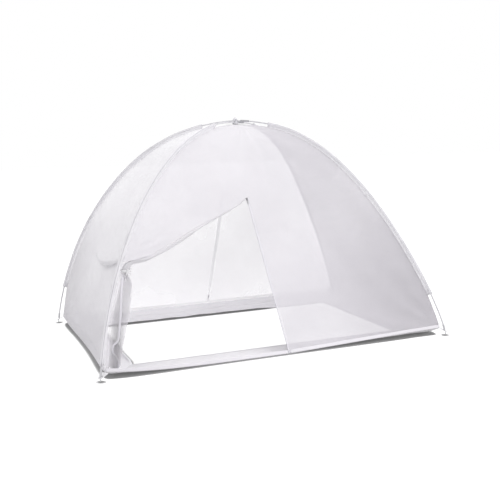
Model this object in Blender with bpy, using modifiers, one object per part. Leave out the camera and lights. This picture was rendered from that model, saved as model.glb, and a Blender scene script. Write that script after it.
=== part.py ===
"""Bottomless dome net tent on two crossed flexible poles, its front door rolled back."""

import math

import bmesh
import bpy
import numpy as np
from mathutils import Matrix, Vector

# Main sizes in metres. X runs along the long front, the front faces -Y, the ground is z = 0.
NET_LENGTH = 2.0
NET_DEPTH = 1.4
ARCH_HEIGHT = 1.288
FOOT_OUTSET = 0.036
ARCH_SPREAD_POWER = 2.23
ARCH_RISE_POWER = 1.24
ARCH_LEAN = -0.041
CORNER_RISE = 0.042

# Poles, ferrules and end tips.
POLE_RADIUS = 0.0042
FERRULE_WALL = 0.0011
FERRULE_LENGTH = 0.055
SECTIONS_PER_POLE = 6
MIDDLE_FERRULE_OFFSET = 0.06
CROSSING_LIFT = 0.0047
CROSSING_SHARE = 0.15
PIN_RADIUS = 0.0023
PIN_LENGTH = 0.030
CAP_LENGTH = 0.032
CAP_WALL = 0.0016
CAP_FLOOR = 0.005

# Pole sleeves.
CHANNEL_RADIUS = 0.0085
SLEEVE_WALL = 0.0009
SEAM_WIDTH = 0.0185
SEAM_HALF_THICKNESS = 0.0014
SLEEVE_TOP_SHARE = 0.165
FRONT_LEFT_SLEEVE_FOOT = 0.075
OTHER_SLEEVE_FOOT = 0.24

# Net walls.
NET_THICKNESS = 0.001
SEAM_GAP = 0.0007
WALL_EDGE_GAP = 0.0013
TOP_HOLE_SHARE = 0.03
FRONT_HEM_IN = 0.025
SIDE_HEM_IN = 0.030
SIDE_BOW = 0.035
HEM_RISE_POWER = 4.0
FRONT_RIGHT_HEM_RISE_POWER = 1.15
BOW_FADE_POWER = 0.75
BACK_HEM_RISE = 0.030
ZIP_TOP = 0.858
FRONT_ZIP_TOP_DEPTH = 0.401
FRONT_ZIP_TOP_X = -0.097
FRONT_ZIP_FOOT_X = 0.026
BACK_ZIP_TOP_DEPTH = 0.394
BACK_ZIP_TOP_X = 0.055
BACK_ZIP_FOOT_X = 0.010

# Zips.
TAPE_WIDTH = 0.012
TAPE_THICKNESS = 0.0009
CHAIN_HALF_WIDTH = 0.0022
CHAIN_HEIGHT = 0.0011
HEM_TAPE_HEIGHT = 0.018
SLIDER_WIDTH = 0.010
SLIDER_LENGTH = 0.015
SLIDER_PLATE = 0.0014
BRIDGE_HEIGHT = 0.0042
BRIDGE_WIDTH = 0.0022
BRIDGE_BAR = 0.0013
BRIDGE_LENGTH_SHARE = 0.8
PULLER_WIDTH = 0.0085
PULLER_LENGTH = 0.030
PULLER_THICKNESS = 0.0012
PULLER_EYE_LENGTH = 0.0085
PULLER_RAIL_SHARE = 0.75
FRONT_SLIDER_DROP = 0.012
BACK_SLIDER_RISE = 0.052

# Rolled-back door flap and its strap. Shares of the way along the fold line, and of its drop.
TIE_HEIGHT = 0.578
FOLD_ALONG_SHARES = (0.0, 0.1, 0.3, 0.4, 0.5, 0.7, 0.8, 0.9, 1.0)
FOLD_DROP_SHARES = (0.0, 0.14, 0.315, 0.41, 0.535, 0.8, 0.92, 1.01, 1.0)
ROLL_HALF_HEIGHT = 0.0125
ROLL_HALF_DEPTH = 0.007
ROLL_START_SHARE = 0.18
ROLL_FULL_SHARE = 0.65
ROLL_PLEAT_SHARE = 0.07
ROLL_END_STEP_SHARE = 0.04
STRAP_HEIGHT = 0.525
STRAP_WIDTH = 0.014
STRAP_THICKNESS = 0.0012
NECK_HALF_WIDTH = 0.014
BUNCH_HALF_WIDTH = 0.036
BUNCH_HALF_DEPTH = 0.022
BUNCH_FOOT = 0.060
BUNCH_HEIGHT_SHARES = (0.88, 0.72, 0.5, 0.3, 0.12, 0.0)
BUNCH_WIDTH_SHARES = (0.42, 0.64, 0.86, 1.0, 1.0, 0.88)
BUNCH_FLAT_SHARE = 0.4
BUNCH_SET_BACK_SHARE = 1.6
PLEAT_SHARE = 0.22
PLEATS = 5

# Ground strips.
FRONT_STRIP_WIDTH = 0.213
SIDE_STRIP_WIDTH = 0.190
BACK_STRIP_WIDTH = 0.252
STRIP_THICKNESS = 0.0012
STRIP_FALL_SHARE = 0.55
STRIP_FALL_ROW_SHARES = (0.0, 0.3, 0.62, 1.0)

# Corner tabs and grommets.
TAB_THICKNESS = 0.0015
TAB_WIDE_END = 0.046
TAB_NARROW_END = 0.028
TAB_FOOT_RISE = 0.023
TAB_OVERHANG = 0.013
TAB_SHOULDER_SHARE = 0.75
TAB_TIP_SHARE = 0.4
TAB_POINT_SHARE = 0.5
GROMMET_HOLE = 0.0066
GROMMET_BARREL = 0.0009
GROMMET_RIM = 0.0024
GROMMET_FLANGE = 0.0007

# Tie over the crossing and the patch of the net under it.
TIE_HALF_WIDTH = 0.019
TIE_WIDTH_SHARES = (0.82, 1.0, 0.95, 0.7, 0.35)
TIE_RISE = 0.024
PATCH_HALF_LENGTH = 0.055
PATCH_HALF_WIDTH = 0.040
PATCH_THICKNESS = 0.001

CLEARANCE = 0.0003
MERGE_DISTANCE = 0.00001

ROUND_STEPS = 16
ARC_SAMPLES = 400
ARC_STEP_SHARE = 0.0005
NEAR_CENTRE = 1e-9
ROD_STEP = 0.045
WALL_COLUMNS = 6
LEVELS_BELOW_ZIP = 8
LEVELS_ABOVE_ZIP = 9
FAN_ROWS = 4
RING_POINTS = 20

half_length = NET_LENGTH / 2
half_depth = NET_DEPTH / 2
half_diagonal = math.hypot(half_length, half_depth)
foot_x = half_length * (half_diagonal + FOOT_OUTSET) / half_diagonal
foot_y = half_depth * (half_diagonal + FOOT_OUTSET) / half_diagonal
across = np.array((half_length, half_depth)) / half_diagonal

CORNERS = {
    "front_left": (-1, -1),
    "front_right": (1, -1),
    "back_left": (-1, 1),
    "back_right": (1, 1),
}


# Scene and materials
for old in list(bpy.data.objects):
    bpy.data.objects.remove(old, do_unlink=True)

tent = bpy.data.collections.new("mosquito_net_tent")
tools = bpy.data.collections.new("tools")
tools.hide_render = True
for collection in (tent, tools):
    bpy.context.scene.collection.children.link(collection)


def material(name, colour, roughness, metallic=0.0):
    made = bpy.data.materials.new(name)
    made.use_nodes = True
    shader = made.node_tree.nodes["Principled BSDF"]
    shader.inputs["Base Color"].default_value = (*colour, 1.0)
    shader.inputs["Roughness"].default_value = roughness
    shader.inputs["Metallic"].default_value = metallic
    made.diffuse_color = (*colour, 1.0)
    return made


netting = material("netting", (0.86, 0.85, 0.88), 0.8)
flap_netting = material("flap_netting", (0.84, 0.83, 0.86), 0.8)
strip_cloth = material("strip_cloth", (0.82, 0.81, 0.84), 0.75)
sleeve_cloth = material("sleeve_cloth", (0.80, 0.79, 0.82), 0.75)
webbing = material("webbing", (0.88, 0.88, 0.88), 0.7)
zip_tape = material("zip_tape", (0.78, 0.77, 0.80), 0.7)
pole_glassfibre = material("pole_glassfibre", (0.72, 0.72, 0.74), 0.35)
ferrule_metal = material("ferrule_metal", (0.42, 0.42, 0.44), 0.35, 0.9)
tip_metal = material("tip_metal", (0.30, 0.30, 0.32), 0.4, 0.8)
grommet_metal = material("grommet_metal", (0.62, 0.62, 0.63), 0.3, 1.0)
slider_metal = material("slider_metal", (0.16, 0.16, 0.17), 0.4, 0.7)
tie_cloth = material("tie_cloth", (0.34, 0.34, 0.35), 0.8)


def finish(obj, made_of, smooth=True, cutter=False):
    """Puts an object in its collection with its material and shading."""
    if cutter:
        tools.objects.link(obj)
        obj.hide_render = True
        obj.display_type = "WIRE"
    else:
        tent.objects.link(obj)
    obj.data.materials.append(made_of)
    if obj.type == "MESH" and smooth:
        for polygon in obj.data.polygons:
            polygon.use_smooth = True
    return obj


def clean(data):
    """Joins equal points of a mesh and turns its faces the same way."""
    shape = bmesh.new()
    shape.from_mesh(data)
    bmesh.ops.remove_doubles(shape, verts=shape.verts, dist=MERGE_DISTANCE)
    bmesh.ops.recalc_face_normals(shape, faces=shape.faces)
    shape.to_mesh(data)
    shape.free()


def mesh_object(name, points, faces, made_of, smooth=True, cutter=False):
    data = bpy.data.meshes.new(name)
    data.from_pydata([tuple(float(v) for v in p) for p in points], [], faces)
    clean(data)
    return finish(bpy.data.objects.new(name, data), made_of, smooth, cutter)


def thicken(obj, thickness, offset=0.0):
    solid = obj.modifiers.new("Solidify", "SOLIDIFY")
    solid.thickness = thickness
    solid.offset = offset
    return obj


def grid_faces(rows, columns, start=0):
    """Quads between neighbouring rows of points that are listed row after row."""
    faces = []
    for row in range(rows - 1):
        for column in range(columns - 1):
            corner = start + row * columns + column
            faces.append((corner, corner + 1, corner + columns + 1, corner + columns))
    return faces


def loft(name, rings, made_of, cutter=False):
    """A solid through closed rings of points, with its ends filled."""
    count = len(rings[0])
    points = [p for ring in rings for p in ring]
    faces = []
    for row in range(len(rings) - 1):
        for column in range(count):
            beside = (column + 1) % count
            low = row * count
            high = low + count
            faces.append((low + column, low + beside, high + beside, high + column))
    last = (len(rings) - 1) * count
    faces.append(tuple(range(count)))
    faces.append(tuple(range(last, last + count)))
    return mesh_object(name, points, faces, made_of, cutter=cutter)


def hollow_loft(name, outer, inner, made_of):
    """A tube with a wall between outer and inner rings, open at both ends."""
    count = len(outer[0])
    rows = len(outer)
    points = [p for ring in outer for p in ring] + [p for ring in inner for p in ring]
    shift = rows * count
    faces = []
    for column in range(count):
        beside = (column + 1) % count
        for row in range(rows - 1):
            low = row * count
            high = low + count
            faces.append((low + column, low + beside, high + beside, high + column))
            faces.append(
                (shift + low + beside, shift + low + column, shift + high + column, shift + high + beside)
            )
        top = (rows - 1) * count
        faces.append((beside, column, shift + column, shift + beside))
        faces.append((top + column, top + beside, shift + top + beside, shift + top + column))
    return mesh_object(name, points, faces, made_of)


def turned(name, profile, made_of, place):
    """A round piece from its (radius, height) profile, standing on its own Z axis."""
    data = bpy.data.meshes.new(name)
    edges = [(i, (i + 1) % len(profile)) for i in range(len(profile))]
    if profile[0][0] == 0:
        edges.pop()
    data.from_pydata([(r, 0.0, h) for r, h in profile], edges, [])
    obj = finish(bpy.data.objects.new(name, data), made_of)
    screw = obj.modifiers.new("Screw", "SCREW")
    screw.steps = ROUND_STEPS
    screw.render_steps = ROUND_STEPS
    screw.use_merge_vertices = True
    screw.merge_threshold = MERGE_DISTANCE
    screw.use_smooth_shade = True
    obj.matrix_world = place
    return obj


def plate(name, outlines, thickness, made_of, place):
    """A flat piece from closed outlines, the later ones holes, centred on its thickness."""
    data = bpy.data.curves.new(name, "CURVE")
    data.dimensions = "2D"
    data.fill_mode = "BOTH"
    data.extrude = thickness / 2
    for outline in outlines:
        spline = data.splines.new("POLY")
        spline.points.add(len(outline) - 1)
        spline.use_cyclic_u = True
        for point, (x, y) in zip(spline.points, outline):
            point.co = (x, y, 0.0, 1.0)
    obj = finish(bpy.data.objects.new(name, data), made_of)
    obj.matrix_world = place
    return obj


def rod(name, points, radius, made_of, wall=0.0):
    """A round rod along points or, with a wall, an open tube."""
    data = bpy.data.curves.new(name, "CURVE")
    data.dimensions = "3D"
    data.bevel_depth = radius
    data.bevel_resolution = 2
    data.use_fill_caps = wall == 0.0
    data.twist_mode = "Z_UP"
    spline = data.splines.new("POLY")
    spline.points.add(len(points) - 1)
    for point, place in zip(spline.points, points):
        point.co = (*[float(v) for v in place], 1.0)
    obj = finish(bpy.data.objects.new(name, data), made_of)
    if wall:
        thicken(obj, wall, -1.0)
    return obj


def prism(name, outline, start, end, side, made_of):
    """A straight bar from start to end. The outline is in (side, outward) coordinates."""
    start, end = Vector(start), Vector(end)
    along = (end - start).normalized()
    side = Vector(side)
    outward = side.cross(along).normalized()
    side = along.cross(outward)
    rings = []
    for place in (start, end):
        rings.append([place + side * u + outward * v for u, v in outline])
    return loft(name, rings, made_of)


def frame_matrix(origin, x_axis, y_axis, z_axis):
    matrix = Matrix.Identity(4)
    for column, axis in enumerate((x_axis, y_axis, z_axis)):
        for row in range(3):
            matrix[row][column] = float(axis[row])
    for row in range(3):
        matrix[row][3] = float(origin[row])
    return matrix


def circle(radius):
    turns = [2 * math.pi * i / ROUND_STEPS for i in range(ROUND_STEPS)]
    return [(radius * math.cos(t), radius * math.sin(t)) for t in turns]


# Shape of the arcs and of the net's edges under them
def arc_point(corner, share):
    """Centre of a pole at a share of its span, 0 at the crossing and 1 at the foot."""
    lean = ARCH_LEAN * 4 * share**2 * (1 - share**2)
    rise = max(0.0, 1 - share**ARCH_SPREAD_POWER) ** (1 / ARCH_RISE_POWER)
    return np.array((corner[0] * foot_x * share + lean, corner[1] * foot_y * share, ARCH_HEIGHT * rise))


def share_at_height(height):
    return (1 - (height / ARCH_HEIGHT) ** ARCH_RISE_POWER) ** (1 / ARCH_SPREAD_POWER)


def arc_frame(corner, share):
    """Inward and sideways directions across a pole."""
    low = arc_point(corner, max(0.0, share - ARC_STEP_SHARE))
    high = arc_point(corner, min(1.0, share + ARC_STEP_SHARE))
    out = np.array((corner[0] * across[0], corner[1] * across[1], 0.0))
    run = float((high - low)[:2] @ out[:2])
    fall = float(high[2] - low[2])
    length = math.hypot(run, fall)
    inward = out * (fall / length) - np.array((0.0, 0.0, run / length))
    return inward, np.cross(out, (0.0, 0.0, 1.0))


def sleeve_foot(corner):
    return FRONT_LEFT_SLEEVE_FOOT if corner == (-1, -1) else OTHER_SLEEVE_FOOT


ridge_inset = SEAM_WIDTH + SEAM_GAP


def ridge_point(corner, share):
    """Where two net walls meet: beside the sleeve and, under it, running out to the net's corner."""
    point = arc_point(corner, share)
    inward, _ = arc_frame(corner, share)
    height = point[2]
    foot = sleeve_foot(corner)
    ridge = point + inward * ridge_inset
    if height < foot:
        hem_share = share_at_height(CORNER_RISE)
        hem_inward, _ = arc_frame(corner, hem_share)
        hem = arc_point(corner, hem_share) + hem_inward * ridge_inset
        net_corner = np.array((corner[0] * half_length, corner[1] * half_depth, CORNER_RISE))
        part = min(1.0, (foot - height) / (foot - CORNER_RISE))
        ridge = ridge + (net_corner - hem) * part * (2 - part)
    return ridge


def ridge_table(corner):
    shares = np.sin(np.linspace(0, 1, ARC_SAMPLES) * math.pi / 2) * share_at_height(CORNER_RISE)
    points = np.array([ridge_point(corner, share) for share in shares])
    return shares, points


RIDGES = {corner: ridge_table(corner) for corner in CORNERS.values()}


def ridge_at(corner, height):
    shares, points = RIDGES[corner]
    heights = points[::-1, 2]
    x = np.interp(height, heights, points[::-1, 0])
    y = np.interp(height, heights, points[::-1, 1])
    return np.array((x, y, height))


def ridge_share(corner, height):
    shares, points = RIDGES[corner]
    return float(np.interp(height, points[::-1, 2], shares[::-1]))


ridge_top = min(points[0, 2] for shares, points in RIDGES.values())
top_level = min(ridge_point(corner, TOP_HOLE_SHARE)[2] for corner in CORNERS.values())


def even_levels(low, high, count):
    """Heights that are evenly spaced along the ridge, from low to high."""
    shares, points = RIDGES[(-1, -1)]
    steps = np.linalg.norm(np.diff(points, axis=0), axis=1)
    lengths = np.concatenate(((0.0,), np.cumsum(steps)))
    ends = [np.interp(level, points[::-1, 2], lengths[::-1]) for level in (low, high)]
    wanted = np.linspace(ends[0], ends[1], count + 1)
    return [float(np.interp(length, lengths, points[:, 2])) for length in wanted]


first_level = 2 * CORNER_RISE + 1.5 * HEM_TAPE_HEIGHT
levels_below = even_levels(first_level, ZIP_TOP, LEVELS_BELOW_ZIP)
levels_above = even_levels(ZIP_TOP, top_level, LEVELS_ABOVE_ZIP)[1:]
levels_above[-1] = top_level


# Net walls, each from ridge to ridge round an upright centre line
class Wall:
    """One net wall. Its axis number runs along it and the other one is its depth."""

    def __init__(self, low_corner, high_corner, axis, hem_in, hem_rise, zip_ends=None):
        self.low, self.high, self.axis = low_corner, high_corner, axis
        self.high_hem_power = HEM_RISE_POWER
        self.depth_axis = 1 - axis
        self.side = low_corner[self.depth_axis]
        self.hem_in, self.hem_rise, self.zip_ends = hem_in, hem_rise, zip_ends
        self.hem_depth = (half_depth, half_length)[axis] - hem_in

    def chord(self, height):
        low, high = ridge_at(self.low, height), ridge_at(self.high, height)
        return abs(low[self.depth_axis] + high[self.depth_axis]) / 2

    def centre(self, height):
        """Along and depth coordinates of the centre line at a height."""
        rise = max(0.0, height)
        if self.zip_ends is None:
            part = min(1.0, rise / ridge_top)
            bow = self.hem_in * (1 - part) ** 2 + SIDE_BOW * 4 * part * (1 - part)
            lean = ridge_at(self.low, height)[self.depth_axis] + ridge_at(self.high, height)[self.depth_axis]
            return 0.0, self.side * (abs(lean) / 2 - bow)
        foot_along, top_along, top_depth = self.zip_ends
        part = height / ZIP_TOP
        if part <= 1:
            depth = self.hem_depth + (top_depth - self.hem_depth) * part
            return foot_along + (top_along - foot_along) * part, self.side * depth
        left = max(0.0, (ridge_top - height) / (ridge_top - ZIP_TOP))
        bow = (self.chord(ZIP_TOP) - top_depth) * left**BOW_FADE_POWER
        start = self.middle(ZIP_TOP)
        part = ridge_share(self.low, height) / ridge_share(self.low, ZIP_TOP)
        along = self.middle(height) + (top_along - start) * part
        return along, self.side * (self.chord(height) - bow)

    def middle(self, height):
        low, high = ridge_at(self.low, height), ridge_at(self.high, height)
        return (low[self.axis] + high[self.axis]) / 2

    def point(self, reach, height, edge_gap=WALL_EDGE_GAP):
        """Point at a reach from -1 at the low ridge over 0 at the centre line to 1 at the high one."""
        end = ridge_at(self.low if reach < 0 else self.high, height)
        along, depth = self.centre(height)
        end_along = end[self.axis] - math.copysign(edge_gap, reach)
        part = abs(reach)
        made = np.zeros(3)
        made[self.axis] = along + (end_along - along) * part
        made[self.depth_axis] = depth + (end[self.depth_axis] - depth) * part**2
        made[2] = height
        return made

    def reach_of(self, distance, height, sign):
        """The reach at a distance from the centre line."""
        end = ridge_at(self.low if sign < 0 else self.high, height)
        along, _ = self.centre(height)
        return sign * distance / (abs(end[self.axis] - along) - WALL_EDGE_GAP)

    def hem_height(self, reach, lift=0.0):
        low = self.hem_rise + STRIP_THICKNESS + 2 * CLEARANCE
        power = HEM_RISE_POWER if reach < 0 else self.high_hem_power
        return low + (CORNER_RISE - low) * abs(reach) ** power + lift


zip_slant = math.hypot(FRONT_ZIP_TOP_X - FRONT_ZIP_FOOT_X, ZIP_TOP) / ZIP_TOP
tape_slot = TAPE_WIDTH * zip_slant + CLEARANCE
front_zip_ends = (FRONT_ZIP_FOOT_X, FRONT_ZIP_TOP_X, FRONT_ZIP_TOP_DEPTH)
back_zip_ends = (BACK_ZIP_FOOT_X, BACK_ZIP_TOP_X, BACK_ZIP_TOP_DEPTH)
FRONT = Wall((-1, -1), (1, -1), 0, FRONT_HEM_IN, 0.0, front_zip_ends)
FRONT.high_hem_power = FRONT_RIGHT_HEM_RISE_POWER
BACK = Wall((-1, 1), (1, 1), 0, 0.0, BACK_HEM_RISE, back_zip_ends)
LEFT = Wall((-1, -1), (-1, 1), 1, SIDE_HEM_IN, 0.0)
RIGHT = Wall((1, -1), (1, 1), 1, SIDE_HEM_IN, 0.0)


def half_rows(wall, sign, slot, base_rows):
    """Rows of points for one half of a wall. Each base row gives the height at a reach."""
    rows = []
    for heights in base_rows:
        row = []
        for column in range(WALL_COLUMNS + 1):
            part = column / WALL_COLUMNS
            start = abs(wall.reach_of(slot, CORNER_RISE, sign)) if slot else 0.0
            height = heights(sign * (start + (1 - start) * part))
            if slot:
                start = abs(wall.reach_of(slot, max(height, CORNER_RISE), sign))
            row.append(wall.point(sign * max(NEAR_CENTRE, start + (1 - start) * part), height))
        rows.append(row)
    return rows


def add_rows(points, faces, rows):
    start = len(points)
    for row in rows:
        points.extend(row)
    faces.extend(grid_faces(len(rows), len(rows[0]), start))


def hem_reaches(wall):
    """The reaches at which the lower edge of a wall has its points."""
    slot = tape_slot if wall.zip_ends else 0.0
    low = [wall.reach_of(slot, CORNER_RISE, sign) for sign in (-1, 1)]
    parts = [k / WALL_COLUMNS for k in range(WALL_COLUMNS + 1)]
    reaches = [low[0] + (-1 - low[0]) * part for part in parts[::-1]]
    reaches += [low[1] + (1 - low[1]) * part for part in parts]
    if not slot:
        reaches.remove(low[1])
        reaches[WALL_COLUMNS] = NEAR_CENTRE
    return reaches


def constant(height):
    return lambda reach: height


def hem_row(wall, lift):
    return lambda reach: wall.hem_height(reach, lift)


def wall_sheet(name, wall, slot, hem_lift, fold=None):
    """A net wall with a slot for its zip tape, its low half cut along the fold if there is one."""
    points, faces = [], []
    if slot:
        top_rows = [constant(height) for height in [ZIP_TOP, *levels_above]]
        below = [hem_row(wall, hem_lift)] + [constant(height) for height in levels_below]
        for sign in (-1, 1):
            # The first two columns of the upper part are the top of the slot and of the half beside it.
            upper = half_rows(wall, sign, 0.0, top_rows)
            beside = half_rows(wall, sign, slot, top_rows)
            joined = [[first[0], *second] for first, second in zip(upper, beside)]
            add_rows(points, faces, joined)
            if sign < 0 and fold:
                add_rows(points, faces, fan_rows(wall, fold, joined[0]))
            else:
                add_rows(points, faces, half_rows(wall, sign, slot, below))
    else:
        rows = [hem_row(wall, hem_lift)]
        rows += [constant(height) for height in levels_below + levels_above]
        for sign in (-1, 1):
            add_rows(points, faces, half_rows(wall, sign, 0.0, rows))
    return thicken(mesh_object(name, points, faces, netting), NET_THICKNESS)


def column_parts(wall, slot):
    """Shares of the way from the centre line to the low ridge at which the net has its columns."""
    start = abs(wall.reach_of(slot, ZIP_TOP, -1))
    return [0.0] + [start + (1 - start) * k / WALL_COLUMNS for k in range(WALL_COLUMNS + 1)]


def fold_height(part):
    parts = column_parts(FRONT, tape_slot)
    drops = np.interp(parts, FOLD_ALONG_SHARES, FOLD_DROP_SHARES)
    return ZIP_TOP - (ZIP_TOP - TIE_HEIGHT) * float(np.interp(part, parts, drops))


def fan_rows(wall, fold, top_row):
    """The net between the fold line and the level of the zip's top."""
    parts = column_parts(wall, tape_slot)
    rows = []
    for row in range(FAN_ROWS + 1):
        points = []
        for part in parts:
            low = fold(part)
            height = low + (ZIP_TOP - low) * row / FAN_ROWS
            points.append(wall.point(-max(NEAR_CENTRE, part), height))
        rows.append(points)
    rows[-1] = top_row
    return rows


# Poles, ferrules and tips
def foot_axis(corner):
    """Centre of the round end of a tip's pin and the direction from there up the pole."""
    foot = np.array((corner[0] * foot_x, corner[1] * foot_y, PIN_RADIUS))
    above = arc_point(corner, share_at_height(PIN_LENGTH + CAP_LENGTH + FERRULE_LENGTH / 4))
    return foot, (above - foot) / np.linalg.norm(above - foot)


def pole_point(corner, share, lift):
    """Centre of a pole that passes over or under the other one at the crossing."""
    near = max(0.0, 1 - (share / CROSSING_SHARE) ** 2) ** 2
    return arc_point(corner, share) + np.array((0.0, 0.0, lift * near))


def half_pole(corner, lift):
    """Fine points along a pole from its crossing to the floor of its tip's socket."""
    top = share_at_height(PIN_LENGTH + CAP_LENGTH + FERRULE_LENGTH / 4)
    points = []
    for share in np.sin(np.linspace(0, 1, ARC_SAMPLES) * math.pi / 2) * top:
        points.append(pole_point(corner, share, lift))
    foot, up = foot_axis(corner)
    points.append(foot + up * (PIN_LENGTH + CAP_FLOOR + CLEARANCE))
    return np.array(points)


def cut(line, lengths, low, high):
    """Points of a line between two of its lengths."""
    count = max(1, math.ceil((high - low) / ROD_STEP))
    wanted = np.linspace(low, high, count + 1)
    return np.array([[np.interp(length, lengths, line[:, k]) for k in range(3)] for length in wanted])


def build_pole(name, low_corner, high_corner, lift):
    low, high = half_pole(low_corner, lift), half_pole(high_corner, lift)
    line = np.concatenate((low[::-1], high[1:]))
    lengths = np.concatenate(((0.0,), np.cumsum(np.linalg.norm(np.diff(line, axis=0), axis=1))))
    middle = lengths[len(low) - 1] + MIDDLE_FERRULE_OFFSET
    spacing = lengths[-1] / SECTIONS_PER_POLE
    joints = [middle + spacing * (k - SECTIONS_PER_POLE / 2 + 1) for k in range(SECTIONS_PER_POLE - 1)]
    starts = [0.0] + [joint + CLEARANCE / 2 for joint in joints]
    ends = [joint - CLEARANCE / 2 for joint in joints] + [lengths[-1]]
    for number, (start, end) in enumerate(zip(starts, ends), 1):
        rod(f"{name}_section_{number}", cut(line, lengths, start, end), POLE_RADIUS, pole_glassfibre)
    # An eight-sided tube must clear the corners of the eight-sided rod inside it.
    flat_share = math.cos(math.pi / 8)
    radius = POLE_RADIUS + (FERRULE_WALL + CLEARANCE) / flat_share
    for number, joint in enumerate(joints, 1):
        ends = (joint - FERRULE_LENGTH / 2, joint + FERRULE_LENGTH / 2)
        rod(f"{name}_ferrule_{number}", cut(line, lengths, *ends), radius, ferrule_metal, FERRULE_WALL)


def build_tip(name, corner):
    foot, up = foot_axis(corner)
    side = np.cross((0.0, 0.0, 1.0), up)
    side /= np.linalg.norm(side)
    socket = POLE_RADIUS + CLEARANCE
    cap = socket + CAP_WALL
    quarter = [math.pi / 8 * k for k in range(5)]
    profile = [(PIN_RADIUS * math.sin(a), -PIN_RADIUS * math.cos(a)) for a in quarter]
    profile[0] = (0.0, -PIN_RADIUS)
    profile += [
        (PIN_RADIUS, PIN_LENGTH),
        (cap - CAP_WALL / 2, PIN_LENGTH),
        (cap, PIN_LENGTH + CAP_WALL / 2),
        (cap, PIN_LENGTH + CAP_LENGTH - CAP_WALL / 2),
        (cap - CAP_WALL / 2, PIN_LENGTH + CAP_LENGTH),
        (socket, PIN_LENGTH + CAP_LENGTH),
        (socket, PIN_LENGTH + CAP_FLOOR),
        (0.0, PIN_LENGTH + CAP_FLOOR),
    ]
    turned(f"{name}_tip", profile[::-1], tip_metal, frame_matrix(foot, side, np.cross(up, side), up))


build_pole("upper_pole", CORNERS["back_left"], CORNERS["front_right"], CROSSING_LIFT)
build_pole("lower_pole", CORNERS["front_left"], CORNERS["back_right"], -CROSSING_LIFT)
for corner_name, corner in CORNERS.items():
    build_tip(corner_name, corner)


# Pole sleeves: a loose channel round the pole that narrows to the seam with the net
def sleeve_outline(radius, seam, half_thickness):
    """Outline in (inward, sideways) coordinates."""
    turns = [math.radians(a) for a in (60, 105, 150, 210, 255, 300)]
    outline = [(radius * math.cos(a), radius * math.sin(a)) for a in turns]
    return outline + [(seam, -half_thickness), (seam, half_thickness)]


for corner_name, corner in CORNERS.items():
    top = ridge_point(corner, SLEEVE_TOP_SHARE)[2]
    foot = sleeve_foot(corner)
    between = [h for h in levels_below + levels_above if foot < h < top]
    spacing = (between[1] - between[0]) / 3
    levels = [foot] + [h for h in between if h - foot > spacing] + [top]
    shells = []
    inner_half = SEAM_HALF_THICKNESS - SLEEVE_WALL
    for radius, seam, half in (
        (CHANNEL_RADIUS + SLEEVE_WALL, SEAM_WIDTH, SEAM_HALF_THICKNESS),
        (CHANNEL_RADIUS, SEAM_WIDTH - 2 * SLEEVE_WALL, inner_half),
    ):
        rings = []
        for height in levels:
            share = ridge_share(corner, height)
            centre = arc_point(corner, share)
            inward, sideways = arc_frame(corner, share)
            outline = sleeve_outline(radius, seam, half)
            rings.append([centre + inward * u + sideways * v for u, v in outline])
        shells.append(rings)
    hollow_loft(f"{corner_name}_sleeve", *shells, sleeve_cloth)


# Net walls
wall_sheet("front_net_wall", FRONT, tape_slot, HEM_TAPE_HEIGHT, fold_height)
wall_sheet("back_net_wall", BACK, tape_slot, HEM_TAPE_HEIGHT)
wall_sheet("left_net_wall", LEFT, 0.0, 0.0)
wall_sheet("right_net_wall", RIGHT, 0.0, 0.0)


# Zip tapes
def zip_line(wall, height):
    return wall.point(NEAR_CENTRE, height, 0.0)


def tape_band(name, wall, sign, height, slot, made_of):
    """The band between a wall's lower edge and its hem, on one side of the upright zip."""
    rows = [hem_row(wall, 0.0), hem_row(wall, height - CLEARANCE)]
    points, faces = [], []
    add_rows(points, faces, half_rows(wall, sign, slot, rows))
    return thicken(mesh_object(name, points, faces, made_of), TAPE_THICKNESS)


half_tape = TAPE_THICKNESS / 2
half_chain = CHAIN_HALF_WIDTH
front_side = (1.0, 0.0, 0.0)
back_side = (-1.0, 0.0, 0.0)
front_profile = [
    (0.0, -half_tape),
    (TAPE_WIDTH, -half_tape),
    (TAPE_WIDTH, half_tape),
    (half_chain, half_tape),
    (half_chain, half_tape + CHAIN_HEIGHT / 2),
    (half_chain / 2, half_tape + CHAIN_HEIGHT),
    (0.0, half_tape + CHAIN_HEIGHT),
]
back_profile = [
    (-TAPE_WIDTH, -half_tape),
    (TAPE_WIDTH, -half_tape),
    (TAPE_WIDTH, half_tape),
    (half_chain, half_tape),
    (half_chain, half_tape + CHAIN_HEIGHT / 2),
    (half_chain / 2, half_tape + CHAIN_HEIGHT),
    (-half_chain / 2, half_tape + CHAIN_HEIGHT),
    (-half_chain, half_tape + CHAIN_HEIGHT / 2),
    (-half_chain, half_tape),
    (-TAPE_WIDTH, half_tape),
]
for name, wall, profile, side in (
    ("front_zip_tape", FRONT, front_profile, front_side),
    ("back_zip_tape", BACK, back_profile, back_side),
):
    foot_along, top_along, _ = wall.zip_ends
    slack = TAPE_WIDTH * abs(top_along - foot_along) / ZIP_TOP + NET_THICKNESS
    low, high = wall.hem_height(0.0) + slack - NET_THICKNESS, ZIP_TOP - slack
    prism(name, profile, zip_line(wall, low), zip_line(wall, high), side, zip_tape)
tape_band("front_hem_tape", FRONT, 1, HEM_TAPE_HEIGHT, tape_slot, zip_tape)
tape_band("front_threshold_tape", FRONT, -1, HEM_TAPE_HEIGHT, CLEARANCE, zip_tape)
tape_band("back_left_hem_tape", BACK, -1, HEM_TAPE_HEIGHT, tape_slot, zip_tape)
tape_band("back_right_hem_tape", BACK, 1, HEM_TAPE_HEIGHT, tape_slot, zip_tape)


# Sliders and pullers. Their own axes are across the tape, up the zip and outward.
slider_height = CHAIN_HEIGHT + SLIDER_PLATE
bar_radius = PULLER_THICKNESS / 2
hinge_height = slider_height + CLEARANCE + bar_radius + PULLER_THICKNESS / 2


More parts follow.
